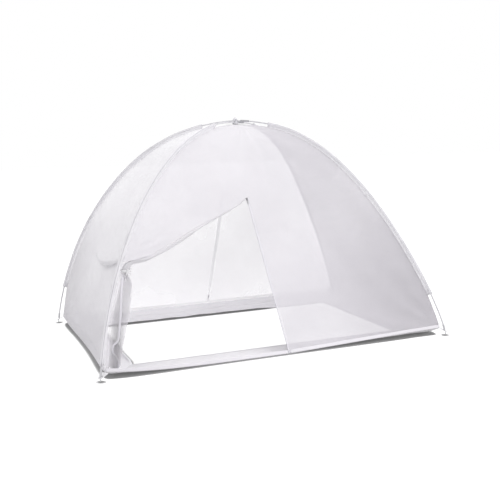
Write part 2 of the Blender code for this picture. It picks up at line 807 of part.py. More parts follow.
def slider_place(wall, height, side):
    origin = Vector(zip_line(wall, height))
    up = (Vector(zip_line(wall, height + SLIDER_LENGTH)) - origin).normalized()
    outward = Vector(side).cross(up).normalized()
    return frame_matrix(origin + outward * half_tape, up.cross(outward), up, outward)


def build_slider(name, wall, height, side):
    place = slider_place(wall, height, side)
    half_width, half_long = SLIDER_WIDTH / 2, SLIDER_LENGTH / 2
    groove = half_chain + CLEARANCE
    top = slider_height + CLEARANCE
    # The plate straddles the chain: its outline across the tape, drawn along the zip.
    outline = [
        (-half_width, CLEARANCE),
        (-groove, CLEARANCE),
        (-groove, CHAIN_HEIGHT + CLEARANCE),
        (groove, CHAIN_HEIGHT + CLEARANCE),
        (groove, CLEARANCE),
        (half_width, CLEARANCE),
        (half_width, top - SLIDER_PLATE / 3),
        (half_width - SLIDER_PLATE / 2, top),
        (-half_width + SLIDER_PLATE / 2, top),
        (-half_width, top - SLIDER_PLATE / 3),
    ]
    rings = [[(x, y, z) for x, z in outline] for y in (-half_long, half_long)]
    plate_part = loft(name, rings, slider_metal)
    # The bridge that holds the puller is an arch along the zip.
    foot = half_long * BRIDGE_LENGTH_SHARE
    rise = top + BRIDGE_HEIGHT
    arch = [
        (-foot, top - SLIDER_PLATE / 2),
        (-foot + BRIDGE_BAR, top - SLIDER_PLATE / 2),
        (-foot + BRIDGE_BAR, rise - 2 * BRIDGE_BAR),
        (-foot + 2 * BRIDGE_BAR, rise - BRIDGE_BAR),
        (foot - 2 * BRIDGE_BAR, rise - BRIDGE_BAR),
        (foot - BRIDGE_BAR, rise - 2 * BRIDGE_BAR),
        (foot - BRIDGE_BAR, top - SLIDER_PLATE / 2),
        (foot, top - SLIDER_PLATE / 2),
        (foot, rise - BRIDGE_BAR),
        (foot - BRIDGE_BAR, rise),
        (-foot + BRIDGE_BAR, rise),
        (-foot, rise - BRIDGE_BAR),
    ]
    rings = [[(x, y, z) for y, z in arch] for x in (-BRIDGE_WIDTH / 2, BRIDGE_WIDTH / 2)]
    bridge = loft(name + "_bridge", rings, slider_metal, cutter=True)
    bridge.matrix_world = place
    plate_part.matrix_world = place
    union = plate_part.modifiers.new("Bridge", "BOOLEAN")
    union.operation = "UNION"
    union.solver = "EXACT"
    union.object = bridge
    return place


def build_puller(name, place):
    """A tab with an eye whose upper bar lies under the bridge. Its origin is on the hinge."""
    hinge = place @ Matrix.Translation((0.0, 0.0, hinge_height))
    half_width = PULLER_WIDTH / 2
    rail = (PULLER_WIDTH - BRIDGE_WIDTH - 4 * CLEARANCE) / 2 * PULLER_RAIL_SHARE
    corner = PULLER_WIDTH / 4
    low = -PULLER_LENGTH
    outline = [
        (-half_width, bar_radius),
        (-half_width, low + corner),
        (-half_width + corner, low),
        (half_width - corner, low),
        (half_width, low + corner),
        (half_width, bar_radius),
    ]
    eye_half = half_width - rail
    eye = [
        (-eye_half, -bar_radius),
        (-eye_half, -bar_radius - PULLER_EYE_LENGTH),
        (eye_half, -bar_radius - PULLER_EYE_LENGTH),
        (eye_half, -bar_radius),
    ]
    plate(name, [outline, eye], PULLER_THICKNESS, slider_metal, hinge)


front_place = build_slider("front_slider", FRONT, ZIP_TOP - FRONT_SLIDER_DROP, front_side)
build_puller("front_puller", front_place)
back_place = build_slider("back_slider", BACK, BACK.hem_height(0.0) + BACK_SLIDER_RISE, back_side)
build_puller("back_puller", back_place)


# Ground strips
def strip(name, wall, width, low_width, high_width):
    """A strip from under a wall's hem to the straight edge of the open floor, mitred at its ends."""
    inner_depth = (half_depth, half_length)[wall.axis] - width
    outer_half = (half_length, half_depth)[wall.axis]
    shares = [STRIP_FALL_SHARE * part for part in STRIP_FALL_ROW_SHARES] + [1.0]
    columns = hem_reaches(wall)
    points = []
    for share in shares:
        for reach in columns:
            height = wall.hem_height(reach)
            outer = wall.point(reach, height, 2 * CLEARANCE)
            edge = height - STRIP_THICKNESS / 2 - 2 * CLEARANCE
            outer_along = outer[wall.axis]
            inner_half = outer_half - (low_width if reach < 0 else high_width)
            inner_along = outer_along * (inner_half - 2 * CLEARANCE) / (outer_half - 2 * CLEARANCE)
            place = np.zeros(3)
            place[wall.axis] = outer_along + (inner_along - outer_along) * share
            start = outer[wall.depth_axis]
            place[wall.depth_axis] = start + (wall.side * inner_depth - start) * share
            fall = max(0.0, 1 - share / STRIP_FALL_SHARE) ** 2
            place[2] = STRIP_THICKNESS / 2 + (edge - STRIP_THICKNESS / 2) * fall
            points.append(place)
    obj = mesh_object(name, points, grid_faces(len(shares), len(columns)), strip_cloth)
    return thicken(obj, STRIP_THICKNESS)


strip("front_ground_strip", FRONT, FRONT_STRIP_WIDTH, SIDE_STRIP_WIDTH, SIDE_STRIP_WIDTH)
strip("back_ground_strip", BACK, BACK_STRIP_WIDTH, SIDE_STRIP_WIDTH, SIDE_STRIP_WIDTH)
strip("left_ground_strip", LEFT, SIDE_STRIP_WIDTH, FRONT_STRIP_WIDTH, BACK_STRIP_WIDTH)
strip("right_ground_strip", RIGHT, SIDE_STRIP_WIDTH, FRONT_STRIP_WIDTH, BACK_STRIP_WIDTH)


# Corner tabs and grommets
def build_tab(name, corner):
    out = np.array((corner[0] * across[0], corner[1] * across[1], 0.0))
    foot, pin_up = foot_axis(corner)
    # All four tabs lie alike, so the sideways lean of the arcs is left out of them.
    pin_up = out * (pin_up[1] / out[1]) + np.array((0.0, 0.0, pin_up[2]))
    start = out * (half_diagonal + 3 * CLEARANCE) + np.array((0.0, 0.0, CORNER_RISE - TAB_THICKNESS))
    pin = foot + pin_up * ((TAB_FOOT_RISE - foot[2]) / pin_up[2])
    along = (pin - start) / np.linalg.norm(pin - start)
    length = float(np.linalg.norm(pin - start))
    side = np.cross((0.0, 0.0, 1.0), out)
    normal = np.cross(along, side)
    if normal[2] < 0:
        side = -side
        normal = -normal
    place = frame_matrix(pin, along, side, normal)
    end = TAB_OVERHANG
    wide, narrow = TAB_WIDE_END / 2, TAB_NARROW_END / 2
    shoulder = -length * TAB_SHOULDER_SHARE
    tip, point = end * TAB_TIP_SHARE, narrow * TAB_POINT_SHARE
    outline = [
        (-length, -wide),
        (shoulder, -wide),
        (tip, -narrow),
        (end, -point),
        (end, point),
        (tip, narrow),
        (shoulder, wide),
        (-length, wide),
    ]
    barrel = GROMMET_HOLE + GROMMET_BARREL
    plate(f"{name}_corner_tab", [outline, circle(barrel + CLEARANCE)], TAB_THICKNESS, webbing, place)
    inner = TAB_THICKNESS / 2 + CLEARANCE
    outer = inner + GROMMET_FLANGE
    rim = barrel + GROMMET_RIM
    profile = [
        (GROMMET_HOLE, outer),
        (rim - GROMMET_FLANGE / 2, outer),
        (rim, inner),
        (barrel, inner),
        (barrel, -inner),
        (rim, -inner),
        (rim - GROMMET_FLANGE / 2, -outer),
        (GROMMET_HOLE, -outer),
    ]
    turned(f"{name}_grommet", profile, grommet_metal, place)


for corner_name, corner in CORNERS.items():
    build_tab(corner_name, corner)


# Rolled-back left half of the front door: a roll along the fold, then a hanging bunch
def bunch_ring(height, half_width, half_depth, pleat):
    """A level ring of the bunch, beside the front left ridge."""
    ridge = ridge_at((-1, -1), height)
    left = max(ridge[0], ridge_at((-1, 1), height)[0]) + 4 * NET_THICKNESS + SIDE_BOW / 3
    centre = np.array((left + half_width * (1 + pleat), ridge[1] + BUNCH_HALF_DEPTH * BUNCH_SET_BACK_SHARE, height))
    ring = []
    for k in range(RING_POINTS):
        turn = 2 * math.pi * k / RING_POINTS
        swell = 1 + pleat * math.cos(PLEATS * turn)
        offset = np.array((-math.cos(turn) * half_width, -math.sin(turn) * half_depth, 0.0))
        ring.append(centre + offset * swell)
    return ring


def roll_ring(part, next_part, half_height, half_depth):
    """A ring of the roll under the fold line, across its run."""
    height = fold_height(part)
    place = FRONT.point(-part, height)
    ahead = FRONT.point(-next_part, fold_height(next_part))
    run = (ahead - place) / np.linalg.norm(ahead - place)
    up = np.cross(run, (0.0, -1.0, 0.0))
    up /= np.linalg.norm(up)
    outward = np.cross(up, run)
    centre = place - up * (half_height * (1 + ROLL_PLEAT_SHARE) + NET_THICKNESS)
    ring = []
    for k in range(RING_POINTS):
        turn = 2 * math.pi * k / RING_POINTS
        swell = 1 + ROLL_PLEAT_SHARE * math.cos(PLEATS * turn)
        offset = up * math.cos(turn) * half_height + outward * math.sin(turn) * half_depth
        ring.append(centre + offset * swell)
    return ring


rings = []
parts = column_parts(FRONT, tape_slot)[1:-1]
for number, part in enumerate(parts):
    grow = ROLL_START_SHARE + (1 - ROLL_START_SHARE) * min(1.0, part / ROLL_FULL_SHARE)
    ahead = parts[number + 1] if number + 1 < len(parts) else part + ROLL_END_STEP_SHARE
    rings.append(roll_ring(part, ahead, ROLL_HALF_HEIGHT * grow, ROLL_HALF_DEPTH * grow))
neck_top = STRAP_HEIGHT + STRAP_WIDTH
neck_foot = STRAP_HEIGHT - STRAP_WIDTH
rings.append(bunch_ring(neck_top, NECK_HALF_WIDTH, NECK_HALF_WIDTH, 0.0))
rings.append(bunch_ring(neck_foot, NECK_HALF_WIDTH, NECK_HALF_WIDTH, 0.0))
for height_share, width_share in zip(BUNCH_HEIGHT_SHARES, BUNCH_WIDTH_SHARES):
    height = BUNCH_FOOT + (neck_foot - BUNCH_FOOT) * height_share
    half_width = BUNCH_HALF_WIDTH * width_share
    half_depth_here = BUNCH_HALF_DEPTH * (BUNCH_FLAT_SHARE + (1 - BUNCH_FLAT_SHARE) * width_share)
    rings.append(bunch_ring(height, half_width, half_depth_here, PLEAT_SHARE))
loft("front_door_flap", rings, flap_netting)

# The strap lies round the straight neck of the bunch.
low_ring = bunch_ring(neck_foot, NECK_HALF_WIDTH, NECK_HALF_WIDTH, 0.0)
high_ring = bunch_ring(neck_top, NECK_HALF_WIDTH, NECK_HALF_WIDTH, 0.0)
grow_inner = (NECK_HALF_WIDTH + CLEARANCE) / NECK_HALF_WIDTH
grow_outer = (NECK_HALF_WIDTH + CLEARANCE + STRAP_THICKNESS) / NECK_HALF_WIDTH
strap_rings = ([], [])
for height in (STRAP_HEIGHT - STRAP_WIDTH / 2, STRAP_HEIGHT + STRAP_WIDTH / 2):
    share = (height - neck_foot) / (neck_top - neck_foot)
    neck = [low + (high - low) * share for low, high in zip(low_ring, high_ring)]
    centre = sum(neck) / len(neck)
    strap_rings[0].append([centre + (p - centre) * grow_outer for p in neck])
    strap_rings[1].append([centre + (p - centre) * grow_inner for p in neck])
hollow_loft("tie_back_strap", *strap_rings, webbing)


# Tie over the crossing and the patch of the net under it
net_top = max(ridge_point(corner, TOP_HOLE_SHARE)[2] for corner in CORNERS.values())
patch_base = net_top + NET_THICKNESS / 2 + CLEARANCE
patch_outline = [
    (-PATCH_HALF_LENGTH, -PATCH_HALF_WIDTH),
    (PATCH_HALF_LENGTH, -PATCH_HALF_WIDTH),
    (PATCH_HALF_LENGTH, PATCH_HALF_WIDTH),
    (-PATCH_HALF_LENGTH, PATCH_HALF_WIDTH),
]
plate(
    "top_patch",
    [patch_outline],
    PATCH_THICKNESS,
    webbing,
    Matrix.Translation((0.0, 0.0, patch_base + PATCH_THICKNESS / 2)),
)
tie_base = patch_base + PATCH_THICKNESS + CLEARANCE
tie_top = ARCH_HEIGHT + TIE_RISE
tie_middle = ARCH_HEIGHT + CROSSING_LIFT + POLE_RADIUS
tie_heights = (
    tie_base,
    tie_base + (tie_middle - tie_base) / 3,
    tie_middle,
    tie_middle + (tie_top - tie_middle) / 2,
    tie_top,
)
tie_rings = []
for height, share in zip(tie_heights, TIE_WIDTH_SHARES):
    tie_rings.append([(x, y, height) for x, y in circle(TIE_HALF_WIDTH * share)])
tie = loft("pole_tie", tie_rings, tie_cloth)
for label, corner_a, corner_b, lift in (
    ("upper", CORNERS["back_left"], CORNERS["front_right"], CROSSING_LIFT),
    ("lower", CORNERS["front_left"], CORNERS["back_right"], -CROSSING_LIFT),
):
    reach = 2 * TIE_HALF_WIDTH / half_diagonal
    line = [pole_point(corner_a, reach * part, lift) for part in (1.0, 0.6, 0.2)]
    line += [pole_point(corner_b, reach * part, lift) for part in (0.2, 0.6, 1.0)]
    guide = rod(f"{label}_pole_guide", line, POLE_RADIUS + 3 * CLEARANCE, tie_cloth)
    bpy.context.view_layer.update()
    graph = bpy.context.evaluated_depsgraph_get()
    data = bpy.data.meshes.new_from_object(guide.evaluated_get(graph))
    clean(data)
    bpy.data.objects.remove(guide, do_unlink=True)
    cutter = finish(bpy.data.objects.new(f"{label}_pole_cutter", data), tie_cloth, cutter=True)
    opening = tie.modifiers.new(f"{label}_opening", "BOOLEAN")
    opening.operation = "DIFFERENCE"
    opening.solver = "EXACT"
    opening.object = cutter
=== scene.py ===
"""Looks of the mosquito net tent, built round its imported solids."""

import math

import bmesh
import bpy
import numpy as np
from mathutils import Matrix, Vector


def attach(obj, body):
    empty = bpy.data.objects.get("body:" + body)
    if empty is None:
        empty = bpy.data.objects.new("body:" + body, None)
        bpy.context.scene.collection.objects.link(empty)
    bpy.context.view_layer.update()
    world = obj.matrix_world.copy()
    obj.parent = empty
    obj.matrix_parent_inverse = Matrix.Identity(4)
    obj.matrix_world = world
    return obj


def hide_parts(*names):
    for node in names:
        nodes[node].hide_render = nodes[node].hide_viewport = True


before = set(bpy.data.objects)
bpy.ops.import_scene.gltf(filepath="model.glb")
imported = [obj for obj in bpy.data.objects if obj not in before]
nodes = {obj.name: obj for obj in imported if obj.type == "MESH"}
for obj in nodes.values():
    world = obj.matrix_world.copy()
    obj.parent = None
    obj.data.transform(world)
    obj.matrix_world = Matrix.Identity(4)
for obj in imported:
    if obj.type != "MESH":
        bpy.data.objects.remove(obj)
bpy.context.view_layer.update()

# Sizes of the tent in metres, as its solids have them.
NET_LENGTH = 2.0
NET_DEPTH = 1.4
ARCH_HEIGHT = 1.288
FOOT_OUTSET = 0.036
ARCH_SPREAD_POWER = 2.23
ARCH_RISE_POWER = 1.24
ARCH_LEAN = -0.041
CORNER_RISE = 0.042
PIN_RADIUS = 0.0023
PIN_LENGTH = 0.030
CAP_LENGTH = 0.032
FERRULE_LENGTH = 0.055
CHANNEL_RADIUS = 0.0085
SLEEVE_WALL = 0.0009
SEAM_WIDTH = 0.0185
SEAM_GAP = 0.0007
SLEEVE_TOP_SHARE = 0.165
FRONT_LEFT_SLEEVE_FOOT = 0.075
OTHER_SLEEVE_FOOT = 0.24
NET_THICKNESS = 0.001
TOP_HOLE_SHARE = 0.03
FRONT_HEM_IN = 0.025
SIDE_HEM_IN = 0.030
SIDE_BOW = 0.035
HEM_RISE_POWER = 4.0
FRONT_RIGHT_HEM_RISE_POWER = 1.15
BACK_HEM_RISE = 0.030
ZIP_TOP = 0.858
FRONT_ZIP_TOP_DEPTH = 0.401
FRONT_ZIP_TOP_X = -0.097
FRONT_ZIP_FOOT_X = 0.026
BACK_ZIP_TOP_DEPTH = 0.394
BACK_ZIP_TOP_X = 0.055
BACK_ZIP_FOOT_X = 0.010
TAPE_WIDTH = 0.012
TAPE_THICKNESS = 0.0009
CHAIN_HALF_WIDTH = 0.0021
CHAIN_HEIGHT = 0.0010
HEM_TAPE_HEIGHT = 0.018
TIE_HEIGHT = 0.578
FOLD_ALONG_SHARES = (0.0, 0.1, 0.3, 0.4, 0.5, 0.7, 0.8, 0.9, 1.0)
FOLD_DROP_SHARES = (0.0, 0.14, 0.315, 0.41, 0.535, 0.8, 0.92, 1.01, 1.0)
ROLL_HALF_HEIGHT = 0.0125
ROLL_HALF_DEPTH = 0.007
ROLL_START_SHARE = 0.18
ROLL_FULL_SHARE = 0.65
ROLL_PLEAT_SHARE = 0.07
STRAP_HEIGHT = 0.525
STRAP_WIDTH = 0.014
NECK_HALF_WIDTH = 0.026
NECK_HALF_DEPTH = 0.014
BUNCH_HALF_WIDTH = 0.0415
BUNCH_HALF_DEPTH = 0.022
BUNCH_FOOT = 0.060
FLAP_FOOT = 0.032
BUNCH_HEIGHT_SHARES = (0.88, 0.72, 0.5, 0.3, 0.12, 0.0)
BUNCH_WIDTH_SHARES = (0.84, 0.96, 1.0, 0.92, 0.79, 0.78)
BUNCH_DEPTH_SHARES = (0.42, 0.64, 0.86, 1.0, 1.0, 0.88)
BUNCH_FLAT_SHARE = 0.4
BUNCH_SET_BACK_SHARE = 1.6
PLEAT_SHARE = 0.22
FRONT_STRIP_WIDTH = 0.213
SIDE_STRIP_WIDTH = 0.190
BACK_STRIP_WIDTH = 0.252
STRIP_THICKNESS = 0.0012
STRIP_FALL_SHARE = 0.55
TAB_THICKNESS = 0.0015
TAB_WIDE_END = 0.046
TAB_NARROW_END = 0.028
TAB_FOOT_RISE = 0.023
TAB_OVERHANG = 0.013
GROMMET_HOLE = 0.0066
GROMMET_BARREL = 0.0009
TIE_HALF_WIDTH = 0.019
TIE_RISE = 0.024
PATCH_HALF_LENGTH = 0.055
PATCH_HALF_WIDTH = 0.040
CLEARANCE = 0.0003
ARC_SAMPLES = 400
TURN = 2 * math.pi
# A reach at a wall's centre line that still tells the wall's halves apart.
CENTRE = 1e-6
WELD = 0.00001

WALL_COLUMNS = 44
ROWS_ABOVE_ZIP = 34
ROWS_BELOW_ZIP = 44
FAN_ROWS = 18

half_length = NET_LENGTH / 2
half_depth = NET_DEPTH / 2
half_diagonal = math.hypot(half_length, half_depth)
foot_x = half_length * (half_diagonal + FOOT_OUTSET) / half_diagonal
foot_y = half_depth * (half_diagonal + FOOT_OUTSET) / half_diagonal
across = np.array((half_length, half_depth)) / half_diagonal
ridge_inset = SEAM_WIDTH + SEAM_GAP

CORNERS = {"front_left": (-1, -1), "front_right": (1, -1), "back_left": (-1, 1), "back_right": (1, 1)}
FRONT_LEFT, FRONT_RIGHT, BACK_LEFT, BACK_RIGHT = CORNERS.values()


# The arcs of the poles and the net's edges under them, as in the solids
def arc_point(corner, share):
    share = np.asarray(share, float)
    lean = ARCH_LEAN * 4 * share**2 * (1 - share**2)
    rise = np.maximum(0.0, 1 - share**ARCH_SPREAD_POWER) ** (1 / ARCH_RISE_POWER)
    return np.stack((corner[0] * foot_x * share + lean, corner[1] * foot_y * share, ARCH_HEIGHT * rise), -1)


def share_at_height(height):
    return (1 - (height / ARCH_HEIGHT) ** ARCH_RISE_POWER) ** (1 / ARCH_SPREAD_POWER)


def outward_of(corner):
    return np.array((corner[0] * across[0], corner[1] * across[1], 0.0))


def arc_frame(corner, share):
    """Inward and sideways directions across a pole at one share of its span."""
    step = 0.0005
    low, high = arc_point(corner, max(0.0, share - step)), arc_point(corner, min(1.0, share + step))
    out = outward_of(corner)
    run, fall = (high - low) @ out, high[2] - low[2]
    length = math.hypot(run, fall)
    inward = out * (fall / length) - np.array((0.0, 0.0, run / length))
    return inward, np.cross(out, (0.0, 0.0, 1.0))


def sleeve_foot(corner):
    return FRONT_LEFT_SLEEVE_FOOT if corner == FRONT_LEFT else OTHER_SLEEVE_FOOT


def ridge_point(corner, share):
    point = arc_point(corner, share)
    inward, _ = arc_frame(corner, share)
    foot = sleeve_foot(corner)
    ridge = point + inward * ridge_inset
    if point[2] < foot:
        hem_share = share_at_height(CORNER_RISE)
        hem_inward, _ = arc_frame(corner, hem_share)
        hem = arc_point(corner, hem_share) + hem_inward * ridge_inset
        net_corner = np.array((corner[0] * half_length, corner[1] * half_depth, CORNER_RISE))
        part = min(1.0, (foot - point[2]) / (foot - CORNER_RISE))
        ridge = ridge + (net_corner - hem) * part * (2 - part)
    return ridge


def ridge_table(corner):
    shares = np.sin(np.linspace(0, 1, ARC_SAMPLES) * math.pi / 2) * share_at_height(CORNER_RISE)
    return shares, np.array([ridge_point(corner, share) for share in shares])


RIDGES = {corner: ridge_table(corner) for corner in CORNERS.values()}


def ridge_at(corner, height):
    """X and Y of a ridge at heights."""
    x, y, heights = RIDGES[corner][1][::-1].T
    return np.interp(height, heights, x), np.interp(height, heights, y)


def ridge_share(corner, height):
    shares, points = RIDGES[corner]
    return np.interp(height, points[::-1, 2], shares[::-1])


ridge_top = min(points[0, 2] for _, points in RIDGES.values())
top_level = min(ridge_point(corner, TOP_HOLE_SHARE)[2] for corner in CORNERS.values())


def run_lengths(points, axis=0):
    """Distances along a line or grid of points, from its first one."""
    steps = np.linalg.norm(np.diff(points, axis=axis), axis=-1)
    start = np.zeros_like(np.take(points[..., 0], [0], axis=axis))
    return np.concatenate((start, np.cumsum(steps, axis=axis)), axis=axis)


def even_levels(low, high, count):
    """Heights between two levels, in even steps along the front left ridge."""
    _, points = RIDGES[FRONT_LEFT]
    lengths = run_lengths(points)
    ends = [np.interp(level, points[::-1, 2], lengths[::-1]) for level in (low, high)]
    levels = np.interp(np.linspace(*ends, count + 1), lengths, points[:, 2])
    levels[-1] = high
    return levels


class Wall:
    """One net wall. Its axis number runs along it and the other one is its depth."""

    def __init__(self, low, high, axis, hem_in, hem_rise=0.0, zip_ends=None, high_hem_power=HEM_RISE_POWER):
        self.low, self.high, self.axis, self.depth_axis = low, high, axis, 1 - axis
        self.side = low[self.depth_axis]
        self.hem_in, self.hem_rise, self.zip_ends = hem_in, hem_rise, zip_ends
        self.high_hem_power = high_hem_power
        self.hem_depth = (half_depth, half_length)[axis] - hem_in

    def ends(self, height):
        return ridge_at(self.low, height), ridge_at(self.high, height)

    def middle(self, height, axis):
        low, high = self.ends(height)
        return (low[axis] + high[axis]) / 2

    def chord(self, height):
        return np.abs(self.middle(height, self.depth_axis))

    def centre(self, height):
        """Along and depth coordinates of the centre line at heights."""
        height = np.asarray(height, float)
        if self.zip_ends is None:
            part = np.minimum(1.0, np.maximum(0.0, height) / ridge_top)
            bow = self.hem_in * (1 - part) ** 2 + SIDE_BOW * 4 * part * (1 - part)
            return np.zeros_like(height), self.side * (self.chord(height) - bow)
        foot_along, top_along, top_depth = self.zip_ends
        part = height / ZIP_TOP
        low_along = foot_along + (top_along - foot_along) * part
        low_depth = self.hem_depth + (top_depth - self.hem_depth) * part
        left = np.maximum(0.0, (ridge_top - height) / (ridge_top - ZIP_TOP))
        bow = (self.chord(ZIP_TOP) - top_depth) * left**0.75
        near = ridge_share(self.low, height) / ridge_share(self.low, ZIP_TOP)
        shift = top_along - self.middle(ZIP_TOP, self.axis)
        high_along = self.middle(height, self.axis) + shift * near
        high_depth = self.chord(height) - bow
        below = part <= 1
        return np.where(below, low_along, high_along), self.side * np.where(below, low_depth, high_depth)

    def points(self, reach, height, edge_gap=0.0):
        """Points at reaches from -1 at the low ridge to 1 at the high one, with 0 at the centre line."""
        reach, height = np.broadcast_arrays(np.asarray(reach, float), np.asarray(height, float))
        low, high = self.ends(height)
        end = [np.where(reach < 0, a, b) for a, b in zip(low, high)]
        along, depth = self.centre(height)
        end_along = end[self.axis] - np.sign(reach) * edge_gap
        part = np.abs(reach)
        made = np.zeros((*reach.shape, 3))
        made[..., self.axis] = along + (end_along - along) * part
        made[..., self.depth_axis] = depth + (end[self.depth_axis] - depth) * part**2
        made[..., 2] = height
        return made

    def reach_of(self, distance, height, sign):
        low, high = self.ends(height)
        end = (low if sign < 0 else high)[self.axis]
        return sign * distance / np.abs(end - self.centre(height)[0])

    def hem_height(self, reach, lift=0.0):
        low = self.hem_rise + STRIP_THICKNESS + 2 * CLEARANCE
        power = np.where(np.asarray(reach) < 0, HEM_RISE_POWER, self.high_hem_power)
        return low + (CORNER_RISE - low) * np.abs(reach) ** power + lift

    def normals(self, reach, height):
        """Outward directions of the net at these places."""
        step = 0.004
        inside = np.clip(np.abs(reach), 2 * step, 1 - step) * np.where(reach < 0, -1, 1)
        held = np.clip(height, CORNER_RISE + step, top_level - step)
        a = self.points(inside + step, held) - self.points(inside - step, held)
        b = self.points(inside, held + step) - self.points(inside, held - step)
        n = np.cross(a, b)
        n /= np.linalg.norm(n, axis=-1, keepdims=True)
        flip = np.sign(n[..., self.depth_axis] * self.side + 0.3 * n[..., 2])
        return n * flip[..., None]


zip_slant = math.hypot(FRONT_ZIP_TOP_X - FRONT_ZIP_FOOT_X, ZIP_TOP) / ZIP_TOP
tape_slot = TAPE_WIDTH * zip_slant
front_zip = (FRONT_ZIP_FOOT_X, FRONT_ZIP_TOP_X, FRONT_ZIP_TOP_DEPTH)
back_zip = (BACK_ZIP_FOOT_X, BACK_ZIP_TOP_X, BACK_ZIP_TOP_DEPTH)
FRONT = Wall(FRONT_LEFT, FRONT_RIGHT, 0, FRONT_HEM_IN, 0.0, front_zip, FRONT_RIGHT_HEM_RISE_POWER)
BACK = Wall(BACK_LEFT, BACK_RIGHT, 0, 0.0, BACK_HEM_RISE, back_zip)
LEFT = Wall(FRONT_LEFT, BACK_LEFT, 1, SIDE_HEM_IN)
RIGHT = Wall(FRONT_RIGHT, BACK_RIGHT, 1, SIDE_HEM_IN)


# Materials
class Value:
    """What a shader works out at a socket: a number, place, colour or surface."""

    def __init__(self, tree, socket):
        self.tree, self.socket = tree, socket

    def into(self, kind, *inputs, result=0, **settings):
        """What a node gives back that takes this value first and the other inputs after it."""
        return node(self.tree, kind, self, *inputs, result=result, **settings)

    def calc(self, operation, *inputs):
        return self.into("Math", *inputs, operation=operation)

    def __add__(self, other):
        return self.calc("ADD", other)

    def __sub__(self, other):
        return self.calc("SUBTRACT", other)

    def __mul__(self, other):
        return self.calc("MULTIPLY", other)

    def ranged(self, *limits):
        """This number moved smoothly from one pair of limits to another."""
        return self.into("MapRange", *limits, interpolation_type="SMOOTHSTEP")

    def blend(self, *colours):
        """The first colour where this number is 0, and the second one where it is 1."""
        colours = [(*colour, 1.0) if isinstance(colour, tuple) else colour for colour in colours]
        return self.into("Mix", *[None] * 5, *colours, result=2, data_type="RGBA")

    def parts(self):
        """X, Y and Z of this place."""
        return [Value(self.tree, socket) for socket in self.into("SeparateXYZ").socket.node.outputs]

    def stretched(self, scale):
        return self.into("Mapping", None, None, scale)

    def noise(self, scale, detail=2.0, roughness=0.5):
        return self.into("TexNoise", None, scale, detail, roughness)

    def distance_to(self, centre, flatten):
        """Distance of this place from a centre, with heights counted less or more than they are."""
        centre = (centre[0], centre[1], centre[2] * flatten)
        place = self.stretched((1.0, 1.0, flatten))
        return place.into("VectorMath", centre, result="Value", operation="DISTANCE")


def node(tree, kind, *inputs, result=0, **settings):
    """One result of a new shader node with these settings and, in their order, inputs."""
    made = tree.nodes.new("ShaderNode" + kind)
    for key, value in settings.items():
        setattr(made, key, value)
    for socket, value in zip(made.inputs, inputs):
        if isinstance(value, Value):
            tree.links.new(value.socket, socket)
        elif value is not None:
            socket.default_value = value
    return Value(tree, made.outputs[result])


def new_material(name, **constants):
    """A material with these constants on its shader, its shader, and the places on cloth and piece."""
    made = bpy.data.materials.new(name)
    made.use_nodes = True
    tree = made.node_tree
    shader = tree.nodes["Principled BSDF"]
    for key, value in constants.items():
        shader.inputs[key.replace("_", " ")].default_value = value
    return made, shader, node(tree, "UVMap", uv_map="cloth"), node(tree, "TexCoord", result="Object")


def connect(shader, colour, roughness, height, distance, strength, cover=None):
    """Leads what a material has worked out to its shader."""
    links = shader.id_data.links
    bump = shader.id_data.nodes.new("ShaderNodeBump")
    bump.inputs["Distance"].default_value = distance
    bump.inputs["Strength"].default_value = strength
    links.new(height.socket, bump.inputs["Height"])
    links.new(bump.outputs[0], shader.inputs["Normal"])
    for name, value in (("Base Color", colour), ("Roughness", roughness), ("Alpha", cover)):
        if value:
            links.new(value.socket, shader.inputs[name])


NET_CELL = 0.0021
STITCH_LENGTH = 0.0032
DARK_LINE_GREY = (0.22, 0.22, 0.24)
# Painted shade: the darker tone that nettings take near the ground, standing in for the lesser light there.
LOW_SHADE_TONE = (0.50, 0.49, 0.52)
CLOTH_SHINE = {"Sheen_Roughness": 0.5, "Specular_IOR_Level": 0.3}


def hexagons(flat, cell):
    """A wave that is high in the holes of a hexagonal knit and low on its threads."""
    x, y, _ = flat.parts()
    back, up = x * (-0.5 * TURN / cell), y * (TURN / cell * math.sqrt(3) / 2)
    return (x * (TURN / cell)).calc("COSINE") + (up + back).calc("COSINE") + (back - up).calc("COSINE")


def net_material(name, light, dark, covers, low_cover=0.0, low_shade=0.0, painted_shades=()):
    """Knitted netting with soft changes of tone, patches of painted shade, and denser near the ground, where
    painted shade darkens it.
    """
    made, shader, flat, place = new_material(name, Sheen_Weight=0.2, **CLOTH_SHINE)
    threads = hexagons(flat, NET_CELL).ranged(-0.9, 1.1, 1.0, 0.0)
    cloudy, fine = place.noise(2.3, 3.0), place.noise(38.0)
    colour = (fine * 0.25 + cloudy * 0.75).ranged(0.35, 0.65, 0.0, 1.0).blend(light, dark)
    low_down = place.parts()[2].ranged(0.05, 0.95, 1.0, 0.0)
    # Painted shade: the colour darkens towards the ground.
    colour = (low_down * low_shade).blend(colour, LOW_SHADE_TONE)
    # Painted shade patches: the colour darkens round each centre.
    for centre, flatten, near, far, tone_there in painted_shades:
        share = place.distance_to(centre, flatten).ranged(near, far, 1.0, 0.0)
        colour = share.blend(colour, tone_there)
    cover = threads.ranged(0.0, 1.0, *covers) + low_down * low_cover + cloudy.ranged(0.3, 0.7, -0.05, 0.05)
    connect(shader, colour, fine.ranged(0.3, 0.7, 0.62, 0.85), fine * 0.5 + threads, 0.0004, 0.4, cover)
    return made


def line_across(x, at, near, far, strength):
    """A line along the cloth at a distance across it."""
    return (x - at).calc("ABSOLUTE").ranged(near, far, strength, 0.0)


